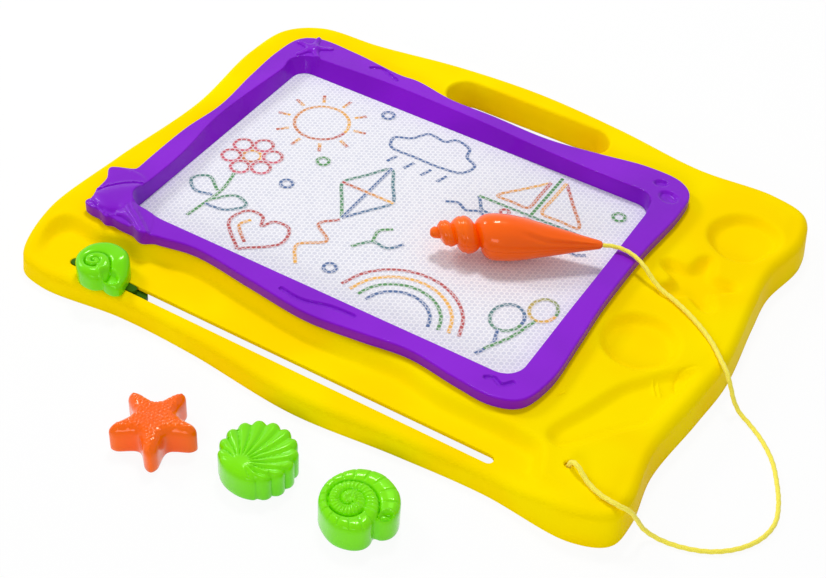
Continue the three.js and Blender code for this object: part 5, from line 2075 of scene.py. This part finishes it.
@dataclass
class Doodles:
    """A child's drawing in magnetic powder: a boat at sea, a kite, a flower and the weather."""

    level: float = 17.03
    layer: float = 0.003
    climb: float = 0.0025
    halves: Profile = ((1.4, 0.0), (0.66, 1.0), (-0.66, 1.0), (-1.4, 0.0))

    @staticmethod
    def ring(x: float, y: float, across: float, up: float, start: float = 0, sweep: float = 360) -> Pairs:
        """Lays anchors round an ellipse, or along an arc of it.

        Args:
            x: Its middle.
            y: Its middle.
            across: Half its width.
            up: Half its height.
            start: Where the arc starts, in degrees.
            sweep: How far it goes round, in degrees.

        Returns:
            The anchors.
        """
        whole = abs(sweep) == 360
        count = max(6, round(abs(sweep) / 24) + (0 if whole else 1))
        angle = np.radians(start + sweep * np.linspace(0, 1, count, endpoint=not whole))
        return np.column_stack([x + across * np.cos(angle), y + up * np.sin(angle)]).tolist()

    def weather(self) -> list[Stroke]:
        """The sun, the clouds and a rainbow.

        Returns:
            The strokes.
        """
        made = [Stroke(self.ring(-82, 48, 17, 17), YELLOW, RED, closed=True)]
        for step in range(10):
            angle = math.radians(36 * step + 12)
            cos, sin = math.cos(angle), math.sin(angle)
            tip = (-82 + 29 * cos, 48 + 29 * sin)
            made.append(Stroke(((-82 + 21 * cos, 48 + 21 * sin), tip), YELLOW, RED, straight=True))
        cloud = ((-34, 52), (-37, 61), (-28, 66), (-21, 76), (-9, 75), (-4, 80), (7, 77), (10, 69), (18, 64), (15, 54),
                 (2, 51), (-16, 51))
        made.append(Stroke(cloud, BLUE, BLUE, closed=True))
        for x in (-26, -14, -2, 9):
            made.append(Stroke(((x, 46), (x - 2.5, 38)), BLUE, BLUE, straight=True))
        for reach, ink in ((38, RED), (32, YELLOW), (26, GREEN), (20, BLUE)):
            made.append(Stroke(self.ring(46, -76, reach, reach, 10, 160), ink, ink))
        return made

    def boat(self) -> list[Stroke]:
        """A sailing boat on the waves.

        Returns:
            The strokes.
        """
        wave = [(20 + 7 * step, 25 + (3.2 if step % 2 else 0)) for step in range(14)]
        hull_and_sails = (
            (((34, 41), (42, 30), (92, 30), (103, 42), (34, 41)), BLUE, GREEN),
            (((68, 42), (68, 84)), GREEN, GREEN),
            (((72, 81), (98, 47), (72, 47), (72, 81)), RED, YELLOW),
            (((64, 76), (42, 47), (64, 47), (64, 76)), YELLOW, RED),
        )
        made = [Stroke(*row, straight=True) for row in hull_and_sails]
        made.append(Stroke(wave, BLUE, BLUE))
        for x, ink in ((54, RED), (68, RED), (82, YELLOW)):
            made.append(Stroke(self.ring(x, 36, 2.6, 2.6), ink, ink, closed=True))
        return made

    def toys(self) -> list[Stroke]:
        """A kite, a flower, a heart, balloons and a leafy twig.

        Returns:
            The strokes.
        """
        made = [Stroke(*row) for row in (
            (((-22, -22), (-40, 6), (-22, 34), (-4, 6), (-22, -22)), GREEN, BLUE, False, True),
            (((-22, -22), (-22, 34)), BLUE, BLUE, False, True),
            (((-40, 6), (-4, 6)), RED, YELLOW, False, True),
            (((-22, -24), (-30, -34), (-18, -44), (-30, -56), (-22, -70)), RED, YELLOW),
            (((-98, -20), (-94, -40), (-97, -70)), GREEN, GREEN),
            (((-95, -52), (-84, -40), (-74, -44), (-82, -54), (-95, -56)), GREEN, BLUE),
            (((-96, -42), (-108, -34), (-115, -41), (-107, -49), (-96, -47)), GREEN, BLUE),
            (self.ring(-98, -4, 5.5, 5.5), YELLOW, RED, True),
            (((-56, -78), (-74, -60), (-70, -47), (-60, -47), (-56, -54), (-52, -47), (-42, -47), (-38, -60),
              (-56, -78)), RED, RED),
            (((-56, -71), (-67, -60), (-64, -53)), RED, YELLOW),
            (self.ring(98, -42, 9, 11), BLUE, GREEN, True),
            (self.ring(112, -26, 7.5, 9.5), GREEN, YELLOW, True),
            (((98, -53), (101, -64), (97, -76)), BLUE, BLUE),
            (((112, -36), (107, -54), (99, -70)), GREEN, GREEN),
            (((-4, -40), (4, -30), (14, -30), (20, -22)), GREEN, BLUE),
            (((4, -30), (2, -20), (8, -14)), GREEN, GREEN),
        )]
        for step in range(6):
            angle = math.radians(60 * step + 30)
            petal = self.ring(-98 + 12.5 * math.cos(angle), -4 + 12.5 * math.sin(angle), 5.6, 5.6)
            made.append(Stroke(petal, RED, PINK, closed=True))
        for x, y, ink in ((-4, -62, BLUE), (-60, 16, GREEN), (-66, -14, BLUE), (112, 70, GREEN), (-52, 78, BLUE)):
            made.append(Stroke(self.ring(x, y, 3.6, 3.6), ink, ink, closed=True))
        return made

    def build(self, palette: Palette) -> None:
        """Makes the drawing as thin ribbons that lie on the film.

        Args:
            palette: The finishes.
        """
        draft = Draft()
        inks: list[Array] = []
        for number, stroke in enumerate(self.weather() + self.boat() + self.toys()):
            line = stroke.line()
            ahead = np.gradient(line, axis=0)
            if stroke.closed:
                ahead = np.roll(line, -1, axis=0) - np.roll(line, 1, axis=0)
            ahead /= norm(ahead, axis=1)[:, None]
            across = np.column_stack([-ahead[:, 1], ahead[:, 0]])
            share = np.linspace(0, 1, len(line))[:, None]
            levels = self.level + self.layer * number + self.climb * share
            tint = (1 - share) * np.array(linear(*stroke.first)) + share * np.array(linear(*stroke.last))
            rows = []
            for reach, strength in self.halves:
                rows.append(draft.place(np.column_stack([line + across * reach, levels])))
                inks.append(np.column_stack([tint[:, :3], np.full(len(line), strength)]))
            draft.loft(rows, closed=stroke.closed)
        piece = finish_piece(draft, "screen_drawing", 50, palette.ink, Body.BOARD)
        colours = piece.data.color_attributes.new("ink", "FLOAT_COLOR", "POINT")
        colours.data.foreach_set("color", np.vstack(inks).ravel().astype(np.float32))


# ---- carried-over nodes


@dataclass(frozen=True)
class CarriedNodes:
    """The CAD nodes that keep their own shape and get a finish."""

    steel: tuple[str, ...] = (
        *(f"bezel_screw_{number}" for number in range(1, 9)), *(f"guide_screw_{number}" for number in range(1, 4)),
        "eraser_screw_1", "eraser_screw_2",
    )
    magnet: tuple[str, ...] = ("eraser_magnet", "pen_magnet", "star_magnet", "scallop_magnet", "nautilus_magnet")
    cord: tuple[str, ...] = ("pen_cord_knot", "board_cord_knot")

    def build(self, nodes: dict[str, Piece], palette: Palette) -> None:
        """Dresses the nodes.

        Args:
            nodes: The frame's nodes by name.
            palette: The finishes.
        """
        finishes = {name: palette.steel for name in self.steel}
        finishes |= {name: palette.magnet for name in self.magnet}
        finishes |= {name: palette.cord for name in self.cord}
        # The eraser arm takes the darker green, whose darkness is painted shade.
        finishes |= {
            "screen_front_film": palette.film, "screen_back_film": palette.film, "screen_honeycomb": palette.core,
            "rear_guide": palette.tray, "eraser_arm": palette.arm,
        }
        for name, material in finishes.items():
            dress(nodes[name], material)
        log.info("carried over: %d nodes", len(finishes))


# ---- studio


@dataclass(frozen=True)
class Studio:
    """The camera at the photograph's angle, soft lamps, and a pale table."""

    target: Triple = (43.6, -51.0, 17)
    distance: float = 867
    azimuth: float = 28.46
    elevation: float = 42.47
    roll: float = 3.79
    focal_pixels: float = 1571
    image_width: float = 826
    farthest: float = 20
    room_light: float = 0.46
    lamps: Sequence[tuple] = (
        ("top_lamp", (-0.36, 0.68, 1.51), (0, 0, 0), (0.32, 0.28), 11),
        ("window_lamp", (-1.25, 0.1, 0.95), (0, 0, 0), (0.26, 0.34), 6),
        ("front_lamp", (0.4, -1.45, 0.6), (0, -0.1, 0), (0.8, 0.4), 6),
    )
    table_rings: Floats = (0, 400, 1600, 5000)
    table_level: float = -0.05

    def place_camera(self) -> None:
        """Makes the scene's camera."""
        azimuth, elevation, roll = (math.radians(a) for a in (self.azimuth, self.elevation, self.roll))
        back = Vector((math.sin(azimuth) * math.cos(elevation), -math.cos(azimuth) * math.cos(elevation),
                       math.sin(elevation)))
        level = Vector((math.cos(azimuth), math.sin(azimuth), 0))
        upright = back.cross(level)
        right = math.cos(roll) * level + math.sin(roll) * upright
        up = -math.sin(roll) * level + math.cos(roll) * upright
        lens = bpy.data.cameras.new("camera")
        lens.lens = self.focal_pixels / self.image_width * lens.sensor_width
        lens.clip_end = self.farthest
        camera = bpy.data.objects.new("camera", lens)
        place = Vector(Workshop.spot(*self.target)) + back * self.distance * MM
        turn = Matrix((right, up, back)).transposed().to_4x4()
        camera.matrix_world = Matrix.Translation(place) @ turn
        bpy.context.scene.collection.objects.link(camera)
        bpy.context.scene.camera = camera

    @staticmethod
    def lamp(name: str, place: Floats, aim: Floats, size: Pair,
             power: float) -> None:
        """Adds a soft rectangular lamp.

        Args:
            name: The lamp's name.
            place: Where it hangs, in metres.
            aim: What it points at.
            size: Its width and height.
            power: Its power in watts.
        """
        data = bpy.data.lights.new(name, "AREA")
        data.shape = "RECTANGLE"
        data.size, data.size_y = size
        data.energy = power
        lamp = bpy.data.objects.new(name, data)
        lamp.location = place
        lamp.rotation_euler = (Vector(aim) - Vector(place)).to_track_quat("-Z", "Y").to_euler()
        bpy.context.scene.collection.objects.link(lamp)

    def light(self) -> None:
        """Lights the scene: an even white room, a window to the back left and a fill in front."""
        bpy.context.scene.view_settings.view_transform = "Standard"
        world = bpy.data.worlds.new("white_room")
        bpy.context.scene.world = world
        graph = blank_graph(world)
        room = graph.add("Background", {"Color": WHITE, "Strength": self.room_light})
        white = graph.add("Background", {"Color": WHITE, "Strength": 1.0})
        both = graph.add("MixShader", {0: graph.seen(), 1: room.outputs[0], 2: white.outputs[0]})
        graph.add("OutputWorld", {"Surface": both.outputs[0]})
        for lamp in self.lamps:
            self.lamp(*lamp)

    def lay_table(self) -> None:
        """Lays the table under the board."""
        draft = Draft()
        rows = []
        for reach in self.table_rings:
            rows.append(draft.place(np.array([(reach * math.cos(a), reach * math.sin(a), self.table_level)
                                              for a in round_turn(48)])))
        draft.loft(rows)
        table = draft.piece("table", sharp=50)
        dress(table, PaleTable().make())


# ---- assembly


def build_loose_pieces(palette: Palette) -> None:
    """Makes the eraser's knob and the three stamps.

    Args:
        palette: The finishes.
    """
    star, scallop, snail = StarTop(), ScallopTop(), SnailTop()
    knob = SnailTop(
        radius=15, height=13.5, corners=KNOB_CORNERS, groove=1.9, pole=(-0.035, -0.3),
        turns=(-10, 20, 47, 99, 154, 238, 300, 360, 450, 540, 700),
        reaches=(0.97, 0.76, 0.61, 0.5, 0.4, 0.34, 0.29, 0.25, 0.19, 0.13, 0.06),
        mouth=(0.86, -0.13, 0.36, 0.26, 24), ticks=0.0, droop=5.0,
    )
    star_back = 0.55  # keeps the star's tip inside the box of its CAD node
    knob_lift, carriage, play = 13.2, 45, 0.4
    star_place, scallop_place, snail_place = PLAN.on_tray(((-0.209, -1.346), (0.082, -1.268), (0.391, -1.261)))
    slot_x, slot_y, slot_length, _ = Tray().slot
    knob_place = (slot_x - slot_length / 2 + play + carriage / 2, slot_y)
    Stamp("star_stamp_shell", Body.STAR, Slot.ORANGE, ("star_stamp",), star.outline, star,
          (star_place[0], star_place[1] + star_back, 0), -58, spacing=0.42).build(palette.orange)
    Stamp("scallop_stamp_shell", Body.SCALLOP, Slot.GREEN, ("scallop_stamp",), scallop.outline, scallop,
          (*scallop_place, 0), 63, spacing=0.5).build(palette.green)
    Stamp("nautilus_stamp_shell", Body.NAUTILUS, Slot.GREEN, ("nautilus_stamp",), snail.outline, snail,
          (*snail_place, 0), -30, spacing=0.42, features=[snail.groove_line()]).build(palette.green)
    Stamp("eraser_knob_shell", Body.ERASER, Slot.GREEN, ("eraser_knob",), knob.outline, knob,
          (*knob_place, knob_lift), -25, spacing=0.42, features=[knob.groove_line()]).build(palette.green)


def main() -> None:
    """Builds the board in order."""
    logging.basicConfig(level=logging.INFO, format="%(message)s")
    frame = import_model()
    Workshop.set_up()
    studio = Studio()
    studio.place_camera()
    palette = Palette()
    Cord().build(palette)
    studio.light()
    studio.lay_table()
    Tray().build(palette)
    Bezel().build(palette)
    Doodles().build(palette)
    Pen().build(palette)
    build_loose_pieces(palette)
    CarriedNodes().build(frame["nodes"], palette)


if __name__ == "__main__":
    main()
